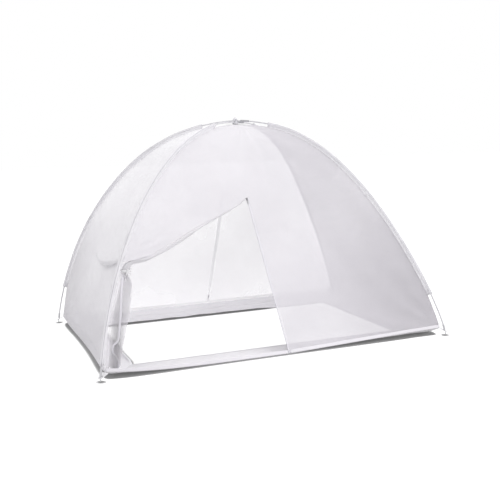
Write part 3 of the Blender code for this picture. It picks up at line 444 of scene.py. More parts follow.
def woven_material(name, light, dark, thread, covers=None, stitches=(), seam_dark=0.55, dark_lines=()):
    """Plain woven cloth, with rows of stitches and dark lines at distances across it where it has any."""
    made, shader, flat, place = new_material(name, Sheen_Weight=0.25, **CLOTH_SHINE)
    x, y, _ = flat.parts()
    weave = (x * (TURN / thread)).calc("SINE") * (y * (TURN / thread)).calc("SINE")
    slub = flat.stretched((40.0, 420.0, 1.0)).noise(1.0)
    tone = weave * 0.04 + slub * 0.3 + place.noise(3.1, 3.0) * 0.7
    colour = tone.ranged(0.32, 0.68, 0.0, 1.0).blend(light, dark)
    height = weave * 0.35 + slub * 0.6
    for at in stitches:
        dash = y.calc("DIVIDE", STITCH_LENGTH).calc("FRACT").calc("GREATER_THAN", 0.28)
        stitch = line_across(x, at, 0.0003, 0.0007, 1.0) * dash
        colour = (stitch * 0.55).blend(colour, tuple(c * seam_dark for c in dark))
        height = stitch * 1.4 + height
    for at in dark_lines:
        line = line_across(x, at, 0.0008, 0.0014, 0.85)
        colour = line.blend(colour, DARK_LINE_GREY)
        height = line * 2.0 + height
    cover = tone.ranged(0.3, 0.7, *covers) if covers else None
    connect(shader, colour, place.noise(60.0).ranged(0.3, 0.7, 0.65, 0.85), height, 0.0003, 0.5, cover)
    return made


def hard_material(name, light, dark, roughness, metallic=0.0, coat=0.0, alpha=1.0):
    """A hard surface with streaks along it, small scratches and rubbed patches."""
    shine = {"Metallic": metallic, "Coat_Weight": coat, "Coat_Roughness": 0.2, "Alpha": alpha}
    made, shader, _, place = new_material(name, **shine)
    streaks = place.stretched((260.0, 260.0, 9.0)).noise(1.0, 3.0)
    rubbed = place.noise(24.0, 4.0, 0.65)
    colour = (rubbed * 0.25 + streaks * 0.75).ranged(0.36, 0.64, 0.0, 1.0).blend(light, dark)
    connect(shader, colour, rubbed.ranged(0.3, 0.7, *roughness), streaks, 0.0001, 0.35)
    return made


# Painted shade patches: centre, flattening, near and far distance, and the darker tone painted at the centre.
FRONT_PAINTED_SHADES = (
    ((0.18, -0.4, 0.97), 1.0, 0.0, 0.50, (0.695, 0.68, 0.712)),
    ((1.0, -0.7, 0.1), 1.0, 0.20, 0.88, (0.60, 0.585, 0.615)),
)
LEFT_PAINTED_SHADES = (((-1.0, 0.7, 0.35), 1.0, 0.08, 0.50, (0.60, 0.59, 0.61)),)
RIGHT_PAINTED_SHADES = (((1.0, -0.7, 0.1), 1.4, 0.20, 1.25, (0.26, 0.25, 0.27)),)
# Nettings: two tones, cover of holes and threads, extra cover and painted shade low down, and painted shade
# patches.
# All walls and the flap are one netting; its tones differ as painted light and shade: darker on the front and
# right walls, lighter on the back and left walls and on the flap.
NETTINGS = {
    "front": ((0.785, 0.77, 0.80), (0.725, 0.71, 0.74), (0.42, 0.74), 0.18, 0.20, FRONT_PAINTED_SHADES),
    "back": ((0.965, 0.935, 0.99), (0.915, 0.885, 0.945), (0.27, 0.51)),
    "left": ((0.94, 0.94, 0.95), (0.88, 0.875, 0.89), (0.54, 0.84), 0.06, 0.44, LEFT_PAINTED_SHADES),
    "right": ((0.63, 0.615, 0.65), (0.55, 0.535, 0.57), (0.62, 0.90), 0.08, 0.0, RIGHT_PAINTED_SHADES),
    "flap": ((0.985, 0.975, 0.99), (0.95, 0.94, 0.965), (0.34, 0.56)),
}
# Distances across the sleeve cloth of its two dark lines.
SLEEVE_DARK_LINES = (0.031, 0.053)
# Weaves: two tones, thread spacing, least and most cover, stitch rows, their tone, and dark lines.
WEAVES = {
    # The ground strips are one cloth; the darker tone of the front and right strips is painted shade and the
    # lighter tone of the back and left strips is painted light.
    "strip": ((0.97, 0.965, 0.98), (0.93, 0.925, 0.94), 0.0011, None, (0.009,), 0.8),
    "near_strip": ((0.865, 0.86, 0.872), (0.825, 0.82, 0.832), 0.0011, None, (0.009,), 0.8),
    "sleeve": ((0.96, 0.955, 0.97), (0.90, 0.895, 0.92), 0.0011, (0.60, 0.74), (0.001,), 0.85, SLEEVE_DARK_LINES),
    "webbing": ((0.86, 0.86, 0.86), (0.78, 0.78, 0.79), 0.0018, None, (0.004,)),
    # The back zip tape and back hem tape are the same cloth as the front ones; their lighter tones are
    # painted light, as they are seen from the tent's shaded inside.
    "zip_tape": ((0.92, 0.91, 0.95), (0.86, 0.85, 0.89), 0.0009, (0.50, 0.68), (0.010,), 0.85),
    "back_zip_tape": ((0.96, 0.95, 0.98), (0.91, 0.90, 0.94), 0.0009, (0.24, 0.40), (0.010,), 0.9),
    "hem_tape": ((0.84, 0.83, 0.855), (0.79, 0.78, 0.805), 0.0011, None, (0.003, 0.015), 0.85),
    "back_hem_tape": ((0.96, 0.95, 0.97), (0.91, 0.90, 0.92), 0.0011, (0.34, 0.48), (0.003, 0.015), 0.9),
    "tie": ((0.74, 0.74, 0.76), (0.62, 0.62, 0.64), 0.0016),
    "wrap": ((0.30, 0.30, 0.32), (0.20, 0.20, 0.22), 0.0016),
}
netting = {name: net_material(name + "_netting_knit", *look) for name, look in NETTINGS.items()}
weave = {name: woven_material(name + "_weave", *look) for name, look in WEAVES.items()}
# Hard finishes: two tones, least and most roughness, metallic share and coat. The names in
# FINISHES are parts of the names of the nodes that have the finish, and the later ones count.
chain_nylon = hard_material("zip_chain_nylon", (0.56, 0.56, 0.59), (0.46, 0.46, 0.49), (0.25, 0.4))
# The back chain is the same nylon as the front one; its pale tone is painted light, as it is seen from the
# tent's shaded inside.
painted_light_nylon = hard_material(
    "back_zip_chain_nylon", (0.95, 0.94, 0.97), (0.90, 0.89, 0.93), (0.25, 0.4), alpha=0.4
)
FINISHES = {
    ("section",): ("pole_glassfibre", (0.70, 0.70, 0.71), (0.56, 0.56, 0.58), (0.3, 0.5), 0.0, 0.3),
    ("ferrule",): ("ferrule_brushed", (0.50, 0.50, 0.52), (0.38, 0.38, 0.40), (0.28, 0.45), 1.0),
    ("tip",): ("tip_metal", (0.62, 0.62, 0.63), (0.48, 0.48, 0.50), (0.3, 0.5), 0.5),
    ("grommet",): ("grommet_nickel", (0.72, 0.72, 0.73), (0.58, 0.58, 0.60), (0.2, 0.4), 1.0),
    ("slider", "puller"): ("slider_painted", (0.34, 0.34, 0.35), (0.25, 0.25, 0.26), (0.3, 0.5), 0.4),
    ("back_slider", "back_puller"): (
        "back_slider_painted", (0.78, 0.78, 0.79), (0.70, 0.70, 0.71), (0.3, 0.5)
    ),
}
for kinds, look in FINISHES.items():
    finish = hard_material(*look)
    for node_name, obj in nodes.items():
        if any(kind in node_name for kind in kinds):
            obj.data.materials.clear()
            obj.data.materials.append(finish)


# Mesh building
def placed(name, data):
    obj = bpy.data.objects.new(name, data)
    bpy.context.scene.collection.objects.link(obj)
    return obj


class Cloth:
    """Points, faces and flat places of one piece, gathered from grids and joined where they meet."""

    def __init__(self):
        self.points, self.places, self.faces = [], [], []

    def grid(self, points, places, closed=False, capped=False):
        rows, columns = points.shape[:2]
        start = len(self.points)
        self.points.extend(points.reshape(-1, 3))
        self.places.extend(places.reshape(-1, 2))
        for row in range(rows - 1):
            for column in range(columns - (0 if closed else 1)):
                beside = (column + 1) % columns
                low, high = start + row * columns, start + (row + 1) * columns
                self.faces.append((low + column, low + beside, high + beside, high + column))
        if capped:
            for first in (start, start + (rows - 1) * columns):
                self.faces.append(tuple(range(first, first + columns)))

    def build(self, name, made_of, replaced, slot, weld=WELD, thickness=0.0):
        """The piece, joined where its points are closer than weld and thickened to both sides."""
        data = bpy.data.meshes.new(name)
        data.from_pydata([tuple(map(float, p)) for p in self.points], [], self.faces)
        layer = data.uv_layers.new(name="cloth")
        corners = np.empty(len(data.loops), np.int32)
        data.loops.foreach_get("vertex_index", corners)
        layer.data.foreach_set("uv", np.array(self.places, np.float32)[corners].ravel())
        shape = bmesh.new()
        shape.from_mesh(data)
        if weld:
            bmesh.ops.remove_doubles(shape, verts=shape.verts, dist=weld)
        bmesh.ops.recalc_face_normals(shape, faces=shape.faces)
        for face in shape.faces:
            face.smooth = True
        shape.to_mesh(data)
        shape.free()
        data.materials.append(made_of)
        obj = placed(name, data)
        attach(obj, "tent")
        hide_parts(replaced)
        if thickness:
            shell = obj.modifiers.new("thickness", "SOLIDIFY")
            shell.thickness, shell.offset = thickness, 0.0
        return obj


def one_grid(name, points, places, made_of, replaced, slot, closed=False, capped=False, **joining):
    """A piece made of one grid."""
    cloth = Cloth()
    cloth.grid(points, places, closed, capped)
    return cloth.build(name, made_of, replaced, slot, **joining)


def flat_places(points):
    """Flat cloth coordinates of a grid of points, in metres, measured along its rows and columns."""
    along = run_lengths(points, 1)
    along -= along[:, along.shape[1] // 2][:, None]
    return np.stack((along, run_lengths(points)), -1)


def pairs(column_places, row_places):
    """Flat places of a grid whose columns and rows have fixed places."""
    return np.stack(np.meshgrid(column_places, row_places), -1)


def circle(count):
    return np.linspace(0, TURN, count + 1)[:-1]


def unit(v):
    return v / np.linalg.norm(v)


WAVES = 7


def wave_noise(a, b, seed, size):
    """Smooth repeatable unevenness from -1 to 1 over two coordinates."""
    dice = np.random.default_rng(seed)
    total = np.zeros(np.broadcast(a, b).shape)
    for _ in range(WAVES):
        angle, phase = dice.uniform(0, TURN), dice.uniform(0, TURN)
        length = size * dice.uniform(0.7, 1.6)
        total += np.sin((a * math.cos(angle) + b * math.sin(angle)) * TURN / length + phase)
    return total / math.sqrt(WAVES) / 1.6


# Net walls
# How high the netting's broad and small unevenness is, and how long.
BROAD_SWAY, SMALL_SWAY = (0.0035, 0.42), (0.0012, 0.13)
# Pull lines: how high they are, how many, and how far they reach.
CORNER_PULL, TOP_PULL, DRAG_PULL = (0.0045, 15.0, 0.30), (0.0030, 17.0, 0.22), (0.0050, 24.0, 0.45)
TOP_PULL_STRETCH = 1.6
DRAG_BAND = 0.28


def sway(size, a, b, seed):
    height, length = size
    return height * wave_noise(a, b, seed, length)


def pull_lines(pull, over, out, soften, phase):
    """Folds that fan out from a held place and die away with distance."""
    height, folds, reach = pull
    distance = np.hypot(over, out)
    fade = distance / (distance + 0.05) * np.exp(-distance / reach)
    return height * fade * np.sin(np.arctan2(over, out + soften) * folds + phase)


def unevenness(wall, reach, height, seed):
    """How far the netting stands out of its smooth form."""
    along = wall.points(reach, height)[..., wall.axis]
    edge = np.clip((1 - np.abs(reach)) / 0.10, 0, 1) * np.clip((height - wall.hem_height(reach)) / 0.06, 0, 1)
    edge = edge * edge * (3 - 2 * edge) * np.clip((top_level - height) / 0.05, 0, 1)
    total = sway(BROAD_SWAY, along, height, seed) + sway(SMALL_SWAY, along, height, seed + 1)
    for sign in (-1, 1):
        aside = np.abs(along - wall.points(sign, CORNER_RISE)[wall.axis])
        total = total + pull_lines(CORNER_PULL, height - CORNER_RISE, aside, 0.001, seed + sign)
    below_top = TOP_PULL_STRETCH * (ridge_top - height)
    total = total + pull_lines(TOP_PULL, along, below_top, 0.02, seed * 0.7)
    return total * edge


def wall_grid(wall, reach, height, seed, extra=0.0):
    lift = unevenness(wall, reach, height, seed) + extra
    return wall.points(reach, height) + wall.normals(reach, height) * lift[..., None]


def half_reaches(wall, sign, slot, height, columns=WALL_COLUMNS):
    """Reaches of one half of a wall at a height, from a slot at its centre line to its ridge."""
    start = abs(float(wall.reach_of(slot, max(height, CORNER_RISE), sign)))
    return sign * (start + (1 - start) * np.linspace(0, 1, columns + 1))


def fold_height(part):
    """Height of the fold line of the rolled-back door, from the zip at 0 to the pole at 1."""
    return ZIP_TOP - (ZIP_TOP - TIE_HEIGHT) * np.interp(part, FOLD_ALONG_SHARES, FOLD_DROP_SHARES)


def rows_between(low, top, rows):
    """Rows of heights, from that of each column's foot up to a level."""
    return low[None, :] + (top - low[None, :]) * np.linspace(0, 1, rows + 1)[:, None]


levels_above = even_levels(ZIP_TOP, top_level, ROWS_ABOVE_ZIP)


def drag_folds(wall, reach, height):
    """Folds of the front wall that run down to where its door is tied back."""
    tie = wall.points(-1, TIE_HEIGHT)
    aside, above = np.abs(wall.points(reach, height)[..., 0] - tie[0]), height - TIE_HEIGHT
    off_line = above - (ZIP_TOP - TIE_HEIGHT) * (1 - np.abs(reach))
    share = np.clip(-reach * 4, 0, 1) * np.clip(1 - np.abs(off_line) / DRAG_BAND, 0, 1)
    return share * pull_lines(DRAG_PULL, above, aside, 0.01, 0.6)


def zip_wall(name, wall, seed, made_of):
    """A wall with an upright zip. The front one has no left half below its door's fold line."""
    cloth = Cloth()
    for sign in (-1, 1):
        reach = np.concatenate(((sign * CENTRE,), half_reaches(wall, sign, tape_slot, ZIP_TOP)))
        upper = np.broadcast_arrays(reach[None, :], levels_above[:, None])
        if sign < 0 and wall is FRONT:
            heights = rows_between(fold_height(np.abs(reach)), ZIP_TOP, FAN_ROWS)
            reaches = np.broadcast_to(reach[None, :], heights.shape)
        else:
            hem = wall.hem_height(half_reaches(wall, sign, tape_slot, CORNER_RISE), HEM_TAPE_HEIGHT)
            heights = rows_between(hem, ZIP_TOP, ROWS_BELOW_ZIP)
            reaches = np.array([half_reaches(wall, sign, tape_slot, row.mean()) for row in heights])
            reaches[-1] = reach[1:]
        for number, (reaches, heights) in enumerate((upper, (reaches, heights))):
            extra = drag_folds(wall, reaches, heights) if wall is FRONT else 0.0
            points = wall_grid(wall, reaches, heights, seed, extra)
            places = flat_places(points)
            cloth.grid(points, places + (0.0, ZIP_TOP - number * places[-1, 0, 1]))
    return cloth.build(name + "_cloth", made_of, name, "netting")


def side_wall(name, wall, seed, made_of, rows=ROWS_BELOW_ZIP, tuck=None):
    cloth = Cloth()
    for sign in (-1, 1):
        reach = sign * np.maximum(np.linspace(0, 1, WALL_COLUMNS + 1), CENTRE)
        low = rows_between(wall.hem_height(reach), ZIP_TOP, rows)
        heights = np.concatenate((low, np.repeat(levels_above[1:, None], len(reach), axis=1)))
        reaches = np.broadcast_to(reach[None, :], heights.shape)
        shift, lift = tuck(reaches, heights) if tuck else (0.0, 0.0)
        points = wall_grid(wall, reaches, heights + shift, seed, lift)
        cloth.grid(points, flat_places(points))
    return cloth.build(name + "_cloth", made_of, name, "netting")


# The swag of the left wall beside the tie: the net sags there and folds over itself.
SWAG_REACHES = (-1.0, -0.83, -0.65, -0.45, -0.15, 0.08, 0.24, 0.40, 0.60)
SWAG_HEIGHTS = (0.605, 0.575, 0.552, 0.523, 0.495, 0.486, 0.495, 0.510, 0.53)
SWAG_FULLNESS = (0.6, 0.9, 0.9, 0.9, 0.9, 0.75, 0.5, 0.2, 0.0)
SWAG_BAND = 0.105
SWAG_OVERLAP = 2.0
SWAG_STAND = 0.008
SWAG_SHARPNESS = 2.2
SWAG_ROWS = 150


def swag_tuck(reach, height):
    """How far the rows of the net shift down and stand out where the swag folds over."""
    above = height - np.interp(reach, SWAG_REACHES, SWAG_HEIGHTS)
    full = np.interp(reach, SWAG_REACHES, SWAG_FULLNESS) * (reach <= SWAG_REACHES[-1])
    inside = np.clip(1 - (above / SWAG_BAND) ** 2, 0.0, 1.0)
    steep = SWAG_SHARPNESS * above / SWAG_BAND
    return -above * SWAG_OVERLAP * full * inside**2, SWAG_STAND * full * steep * np.exp(0.5 - steep**2 / 2)


front_wall = zip_wall("front_net_wall", FRONT, 11, netting["front"])
back_wall = zip_wall("back_net_wall", BACK, 23, netting["back"])
left_wall = side_wall("left_net_wall", LEFT, 37, netting["left"], SWAG_ROWS, swag_tuck)
right_wall = side_wall("right_net_wall", RIGHT, 41, netting["right"])


# Pole sleeves: one folded strip of cloth round each pole, with its edges sewn to the net
FIN_STEPS = 4
FIN_HALF_GAP = 0.0012
PUCKER_LENGTH = 0.031
CHANNEL_STEPS = 18
CHANNEL_START = math.radians(48)
CHANNEL_SWEEP = math.radians(264)
SLEEVE_RINGS = 170
SLEEVE_FOLD = 0.012
SLEEVE_FOLD_LIFT = 0.0007
SLEEVE_FLAT_WIDTH = 0.084


def sleeve_line(radius, along, seed):
    """Outline of a sleeve in (inward, sideways) coordinates, from one sewn edge to the other."""
    part = np.arange(FIN_STEPS) / FIN_STEPS
    fin = SEAM_WIDTH + (radius * 0.72 - SEAM_WIDTH) * part
    half = FIN_HALF_GAP + (radius * 0.55 - FIN_HALF_GAP) * part**1.6
    pucker = 0.0005 * math.sin(along * TURN / PUCKER_LENGTH + seed) * (1 - part)
    turn = CHANNEL_START + CHANNEL_SWEEP * np.arange(CHANNEL_STEPS + 1) / CHANNEL_STEPS
    loose = 0.05 * np.sin(along * 9.0 + seed + 2 * turn) + 0.035 * np.sin(along * 31.0 + 3 * turn + seed)
    size = radius * (0.97 + loose)
    inward = np.concatenate((fin, size * np.cos(turn), fin[::-1]))
    sideways = np.concatenate((pucker + half, size * np.sin(turn), (pucker - half)[::-1]))
    return inward[:, None], sideways[:, None]


def build_sleeve(name, corner, seed):
    top = ridge_point(corner, SLEEVE_TOP_SHARE)[2]
    ends = [ridge_share(corner, height) for height in (top, sleeve_foot(corner))]
    shares = np.linspace(*ends, SLEEVE_RINGS)
    lengths = run_lengths(np.array([arc_point(corner, share) for share in shares]))
    radius = CHANNEL_RADIUS + SLEEVE_WALL
    stations = [(share, along, radius) for share, along in zip(shares, lengths)]
    fold = max(1, round(SLEEVE_FOLD / lengths[1]))
    first, last = [
        [(share, along, radius + SLEEVE_FOLD_LIFT) for share, along, _ in folded[::-1]]
        for folded in (stations[: fold + 1], stations[-fold - 1 :])
    ]
    stations = first + stations + last
    rings = []
    for share, along, size in stations:
        inward, sideways = arc_frame(corner, share)
        u, v = sleeve_line(size, along, seed)
        rings.append(arc_point(corner, share) + inward * u + sideways * v)
    rings = np.array(rings)
    around = np.linspace(0, 1, rings.shape[1]) * SLEEVE_FLAT_WIDTH
    places = pairs(around, [along for _, along, _ in stations])
    return one_grid(name + "_sleeve_cloth", rings, places, weave["sleeve"], name + "_sleeve", "sleeve_cloth")


sleeves = [build_sleeve(name, corner, number * 1.7) for number, (name, corner) in enumerate(CORNERS.items())]


# Ground strips
CURL_WIDTH = 0.045
CURL_END = 0.42
STRIP_ROWS = 25
HALF_STRIP_COLUMNS = 60
RIPPLE_HEIGHT = 0.0016
# Distances from the inner edge and lifts of its cloth that is folded over and sewn down.
STRIP_FOLD = ((0.0, 0.0007), (0.004, 0.0012), (0.010, 0.0012))


def ground_strip(name, wall, widths, seed, curl, made_of, crease=None):
    """A strip with its own width, its neighbours' ones at its two ends and the rise of its free edge."""
    inner = wall.side * ((half_depth, half_length)[wall.axis] - widths[0])
    outer_half = (half_length, half_depth)[wall.axis]
    reach = np.linspace(-1, 1, 2 * HALF_STRIP_COLUMNS + 1)
    reach[HALF_STRIP_COLUMNS] = CENTRE
    share = np.linspace(0, 1, STRIP_ROWS)[:, None]
    height = wall.hem_height(reach)
    outer = wall.points(reach, height, 2 * CLEARANCE)
    along, start = outer[:, wall.axis], outer[:, wall.depth_axis]
    inner_half = outer_half - np.where(reach < 0, widths[1], widths[2])
    inner_along = along * (inner_half - 2 * CLEARANCE) / (outer_half - 2 * CLEARANCE)
    points = np.zeros((STRIP_ROWS, len(reach), 3))
    points[..., wall.axis] = along + (inner_along - along) * share
    points[..., wall.depth_axis] = start + (inner - start) * share
    floor = STRIP_THICKNESS / 2
    edge = height - floor - 2 * CLEARANCE
    rise = floor + (edge - floor) * np.maximum(0.0, 1 - share / STRIP_FALL_SHARE) ** 2
    x, y = points[..., 0], points[..., 1]
    from_end = 1 - np.abs(reach)
    inside = np.clip(share * 6, 0, 1) * np.clip((1 - share) * 5, 0, 1) * np.clip(from_end * 12, 0, 1)
    rise += RIPPLE_HEIGHT * np.maximum(0.0, wave_noise(x, y, seed, 0.16) + 0.4) * inside
    if crease:
        rise += crease(points, share) * inside
    ends = np.clip(from_end * 8, 0, 1)
    if wall is BACK:
        ends = ends * np.clip((CURL_END - x) * 8, 0, 1)
    uneven = 1 + 0.30 * wave_noise(x, y, seed + 7, 0.22)
    rise += curl * np.clip((share - 1) * widths[0] / CURL_WIDTH + 1, 0, 1) ** 2 * ends * uneven
    points[..., 2] = rise
    folded = np.repeat(points[-1:], len(STRIP_FOLD), axis=0)
    distance, lift = np.array(STRIP_FOLD).T[..., None]
    folded[..., wall.depth_axis] -= np.sign(inner - start) * distance
    folded[..., 2] += lift
    points = np.concatenate((points, folded))
    places = flat_places(points)
    across_it = places[-4, 0, 1] - places[..., 1]
    places = np.stack((across_it, places[..., 0]), -1)
    return one_grid(name + "_cloth", points, places, made_of, name, "strip_cloth")


def crease_ridge(share, at, width):
    return np.exp(-(((share - at) / width) ** 2))


def right_creases(points, share):
    """Long soft ridges of the right strip, from the front corner towards the back."""
    y = points[..., 1]
    first = crease_ridge(share, 0.30 + 0.18 * (y + 0.2), 0.05) * np.clip((0.25 - y) * 3, 0, 1)
    second = crease_ridge(share, 0.58 - 0.12 * y, 0.04) * np.clip((0.1 - y) * 3, 0, 1)
    return 0.009 * first + 0.005 * second


def back_creases(points, share):
    x = points[..., 0]
    far = crease_ridge(share, 0.30 - 0.03 * np.sin(x * 5), 0.035)
    return 0.008 * far + 0.006 * crease_ridge(share, 0.64 - 0.02 * np.sin(x * 7 + 1), 0.03)


front_widths = (FRONT_STRIP_WIDTH, SIDE_STRIP_WIDTH, SIDE_STRIP_WIDTH)
back_widths = (BACK_STRIP_WIDTH, SIDE_STRIP_WIDTH, SIDE_STRIP_WIDTH)
side_widths = (SIDE_STRIP_WIDTH, FRONT_STRIP_WIDTH, BACK_STRIP_WIDTH)
STRIPS = {
    "front": (FRONT, front_widths, 51, 0.0, weave["near_strip"]),
    "back": (BACK, back_widths, 52, 0.010, weave["strip"], back_creases),
    "left": (LEFT, side_widths, 53, 0.010, weave["strip"]),
    "right": (RIGHT, side_widths, 54, 0.0, weave["near_strip"], right_creases),
}
strips = [ground_strip(name + "_ground_strip", *details) for name, details in STRIPS.items()]


# Zip tapes, chains and hem tapes
TAPE_ROWS = 200
COIL_PITCH = 0.00085
COIL_WAIST = 0.72


def zip_frame(wall, height):
    """Place on a zip's centre line, and its sideways and outward directions."""
    low, high = wall.points(CENTRE, height), wall.points(CENTRE, height + 0.01)
    up = unit(high - low)
    outward = unit(np.cross((-wall.side, 0.0, 0.0), up))
    return low, np.cross(up, outward), outward


def zip_ends_of(wall):
    foot_along, top_along, _ = wall.zip_ends
    slack = TAPE_WIDTH * abs(top_along - foot_along) / ZIP_TOP + NET_THICKNESS
    return float(wall.hem_height(0.0)) + slack - NET_THICKNESS, ZIP_TOP - slack


def zip_tape(name, wall, low_side, made_of):
    heights = np.linspace(*zip_ends_of(wall), TAPE_ROWS)
    offsets = np.linspace(low_side, TAPE_WIDTH, 9 if low_side == 0 else 17)
    points = []
    for height in heights:
        origin, side, _ = zip_frame(wall, height)
        points.append(origin + side * offsets[:, None])
    places = pairs(np.abs(offsets), heights)
    return one_grid(
        name + "_cloth", np.array(points), places, made_of, name, "zip_tape", thickness=TAPE_THICKNESS
    )


def zip_chain(name, wall, low_side, tape_name, made_of):
    """The coil of the zip as a ribbed bead on its tape."""
    low, high = zip_ends_of(wall)
    half = CHAIN_HALF_WIDTH
    profile = [(half, 0.0), (half, 0.5), (half / 2, 1.0), (max(low_side, -half / 2), 1.0)]
    profile += [(low_side, 0.5), (low_side, 0.0)] if low_side < 0 else [(0.0, 0.0)]
    u, v = np.array(profile).T[..., None]
    rings = []
    for number, height in enumerate(np.linspace(low, high, int((high - low) / COIL_PITCH))):
        origin, side, outward = zip_frame(wall, height)
        size = 1.0 if number % 2 else COIL_WAIST
        base = origin + outward * (TAPE_THICKNESS / 2 - 0.0001)
        rings.append(base + side * u * size + outward * v * CHAIN_HEIGHT * size)
    rings = np.array(rings)
    places = np.zeros((*rings.shape[:2], 2))
    return one_grid(name, rings, places, made_of, tape_name, "zip_tape", True, True, weld=0.0)


front_tape = zip_tape("front_zip_tape", FRONT, 0.0, weave["zip_tape"])
back_tape = zip_tape("back_zip_tape", BACK, -TAPE_WIDTH, weave["back_zip_tape"])
front_chain = zip_chain("front_zip_chain", FRONT, 0.0, "front_zip_tape", chain_nylon)
back_chain = zip_chain("back_zip_chain", BACK, -CHAIN_HALF_WIDTH, "back_zip_tape", painted_light_nylon)


def hem_tape(name, wall, sign, slot, made_of):
    reach = half_reaches(wall, sign, slot, CORNER_RISE, 90)
    height = wall.hem_height(reach)[None, :] + np.linspace(0, HEM_TAPE_HEIGHT, 7)[:, None]
    points = wall.points(reach[None, :], height)
    places = flat_places(points)[..., ::-1]
    return one_grid(name + "_cloth", points, places, made_of, name, "zip_tape", thickness=TAPE_THICKNESS)


hem_tapes = [
    hem_tape("front_hem_tape", FRONT, 1, tape_slot, weave["hem_tape"]),
    hem_tape("front_threshold_tape", FRONT, -1, CLEARANCE, weave["hem_tape"]),
    hem_tape("back_left_hem_tape", BACK, -1, tape_slot, weave["back_hem_tape"]),
    hem_tape("back_right_hem_tape", BACK, 1, tape_slot, weave["back_hem_tape"]),
]


# The rolled and gathered left half of the front door
ROLL_STATIONS = 44
BEND_STATIONS = 9
BUNCH_STATIONS = 38
SECTION_POINTS = 168
PANEL_POINTS = 24
PANEL_FOLDS = 3
ROLL_TURNS = 7.0
PLEATS = 12
FIRST_ROLL_PART = 0.012
LAST_ROLL_PART = 0.83
NECK_PLEATING = 0.15
neck_top = STRAP_HEIGHT + STRAP_WIDTH
neck_foot = STRAP_HEIGHT - STRAP_WIDTH


def roll_station(part):
    """The roll under the fold line: centre, up, outward, half sizes and its place on the fold."""
    place = FRONT.points(-part, fold_height(part))
    run = unit(FRONT.points(-part - 0.01, fold_height(part + 0.01)) - place)
    up = unit(np.cross((0.0, -1.0, 0.0), run))
    up = up if up[2] > 0 else -up
    outward = np.cross(run, up)
    outward = outward if outward[1] < 0 else -outward
    grow = ROLL_START_SHARE + (1 - ROLL_START_SHARE) * min(1.0, part / ROLL_FULL_SHARE)
    half_height, half_out = ROLL_HALF_HEIGHT * grow, ROLL_HALF_DEPTH * grow
    lumpy = 1 + 0.10 * math.sin(part * 37) + 0.06 * math.sin(part * 83 + 1)
    centre = place - up * (half_height * (1 + ROLL_PLEAT_SHARE) + NET_THICKNESS)
    return centre, up, outward, half_height * lumpy, half_out * (2 - lumpy), place


def bunch_station(height, half_width, half_out, pleat):
    """The same of the hanging bunch, with its place on the seam at the pole."""
    x, y = ridge_at(FRONT_LEFT, height)
    left = max(x, ridge_at(BACK_LEFT, height)[0]) + 4 * NET_THICKNESS + SIDE_BOW / 3
    set_back = BUNCH_HALF_DEPTH * BUNCH_SET_BACK_SHARE
    centre = np.array((left + half_width * (1 + pleat), y + set_back, height))
    edge = np.array((x + NET_THICKNESS, y + NET_THICKNESS, height))
    return centre, np.array((-1.0, 0.0, 0.0)), np.array((0.0, -1.0, 0.0)), half_width, half_out, edge


def flap_stations():
    """How pleated the flap is, from 0 for rolled to 1, and its station, from the zip to the ground."""
    parts = np.linspace(FIRST_ROLL_PART, LAST_ROLL_PART, ROLL_STATIONS)
    made = [(0.0, roll_station(part)) for part in parts]
    last, before = made[-1][1], made[-3][1]
    neck = bunch_station(neck_top, NECK_HALF_WIDTH, NECK_HALF_DEPTH, 0.0)
    reach = np.linalg.norm(neck[0] - last[0])
    start_run, end_run = unit(last[0] - before[0]) * reach, np.array((0.0, 0.0, -0.8)) * reach
    for t in np.arange(1, BEND_STATIONS) / BEND_STATIONS:
        centre = (
            (2 * t**3 - 3 * t**2 + 1) * last[0]
            + (t**3 - 2 * t**2 + t) * start_run
            + (3 * t**2 - 2 * t**3) * neck[0]
            + (t**3 - t**2) * end_run
        )
        up, outward, *sizes = [last[k] * (1 - t) + neck[k] * t for k in range(1, 5)]
        part = LAST_ROLL_PART + (1 - LAST_ROLL_PART) * min(1.0, 2 * t)
        edge = FRONT.points(-part, fold_height(part))
        if t > 0.5:
            level = TIE_HEIGHT + (neck_top - TIE_HEIGHT) * (2 * t - 1)
            edge = np.array((*[v + NET_THICKNESS for v in ridge_at(FRONT_LEFT, level)], level))
        made.append((NECK_PLEATING * t, (centre, unit(up), unit(outward), *sizes, edge)))
    levels = [neck_top, neck_foot, *[BUNCH_FOOT + (neck_foot - BUNCH_FOOT) * s for s in BUNCH_HEIGHT_SHARES]]
    depth_shares = [BUNCH_FLAT_SHARE + (1 - BUNCH_FLAT_SHARE) * share for share in BUNCH_DEPTH_SHARES]
    widths = [NECK_HALF_WIDTH] * 2 + [BUNCH_HALF_WIDTH * share for share in BUNCH_WIDTH_SHARES]
    depths = [NECK_HALF_DEPTH] * 2 + [BUNCH_HALF_DEPTH * share for share in depth_shares]
    for height in np.linspace(neck_top, FLAP_FOOT, BUNCH_STATIONS):
        width, out = [np.interp(height, levels[::-1], sizes[::-1]) for sizes in (widths, depths)]
        pleat = PLEAT_SHARE * min(1.0, max(0.0, (neck_foot - height) / 0.05))
        kind = min(1.0, NECK_PLEATING + (1 - NECK_PLEATING) * max(0.0, (neck_top - height) / 0.07))
        made.append((kind, bunch_station(height, width, out, pleat)))
    return made


def section(kind, along):
    """Cross section of the flap in (up, outward) shares: a roll at kind 0 and pleats at kind 1."""
    u = np.linspace(0, 1, SECTION_POINTS)
    turn = TURN * ROLL_TURNS * u + 0.5 * math.sin(along * 11)
    ring = (0.16 + 0.84 * u) * (1 + 0.10 * np.sin(3 * turn + along * 23))
    roll = np.stack((np.cos(turn) * ring, np.sin(turn) * ring), -1)
    wander = 0.45 * np.sin(6.0 * u + along * 7) + 0.3 * np.sin(13.0 * u - along * 17)
    sweep = (2 * u - 1) * (1 + 0.04 * math.sin(along * 19))
    deep = np.sqrt(np.maximum(0.12, 1 - (0.93 * sweep) ** 2)) * (0.86 + 0.14 * np.sin(5 * u + along * 9))
    pleats = np.stack((sweep, deep * np.sin(TURN * PLEATS * u + wander)), -1)
    return roll * (1 - kind) + pleats * kind


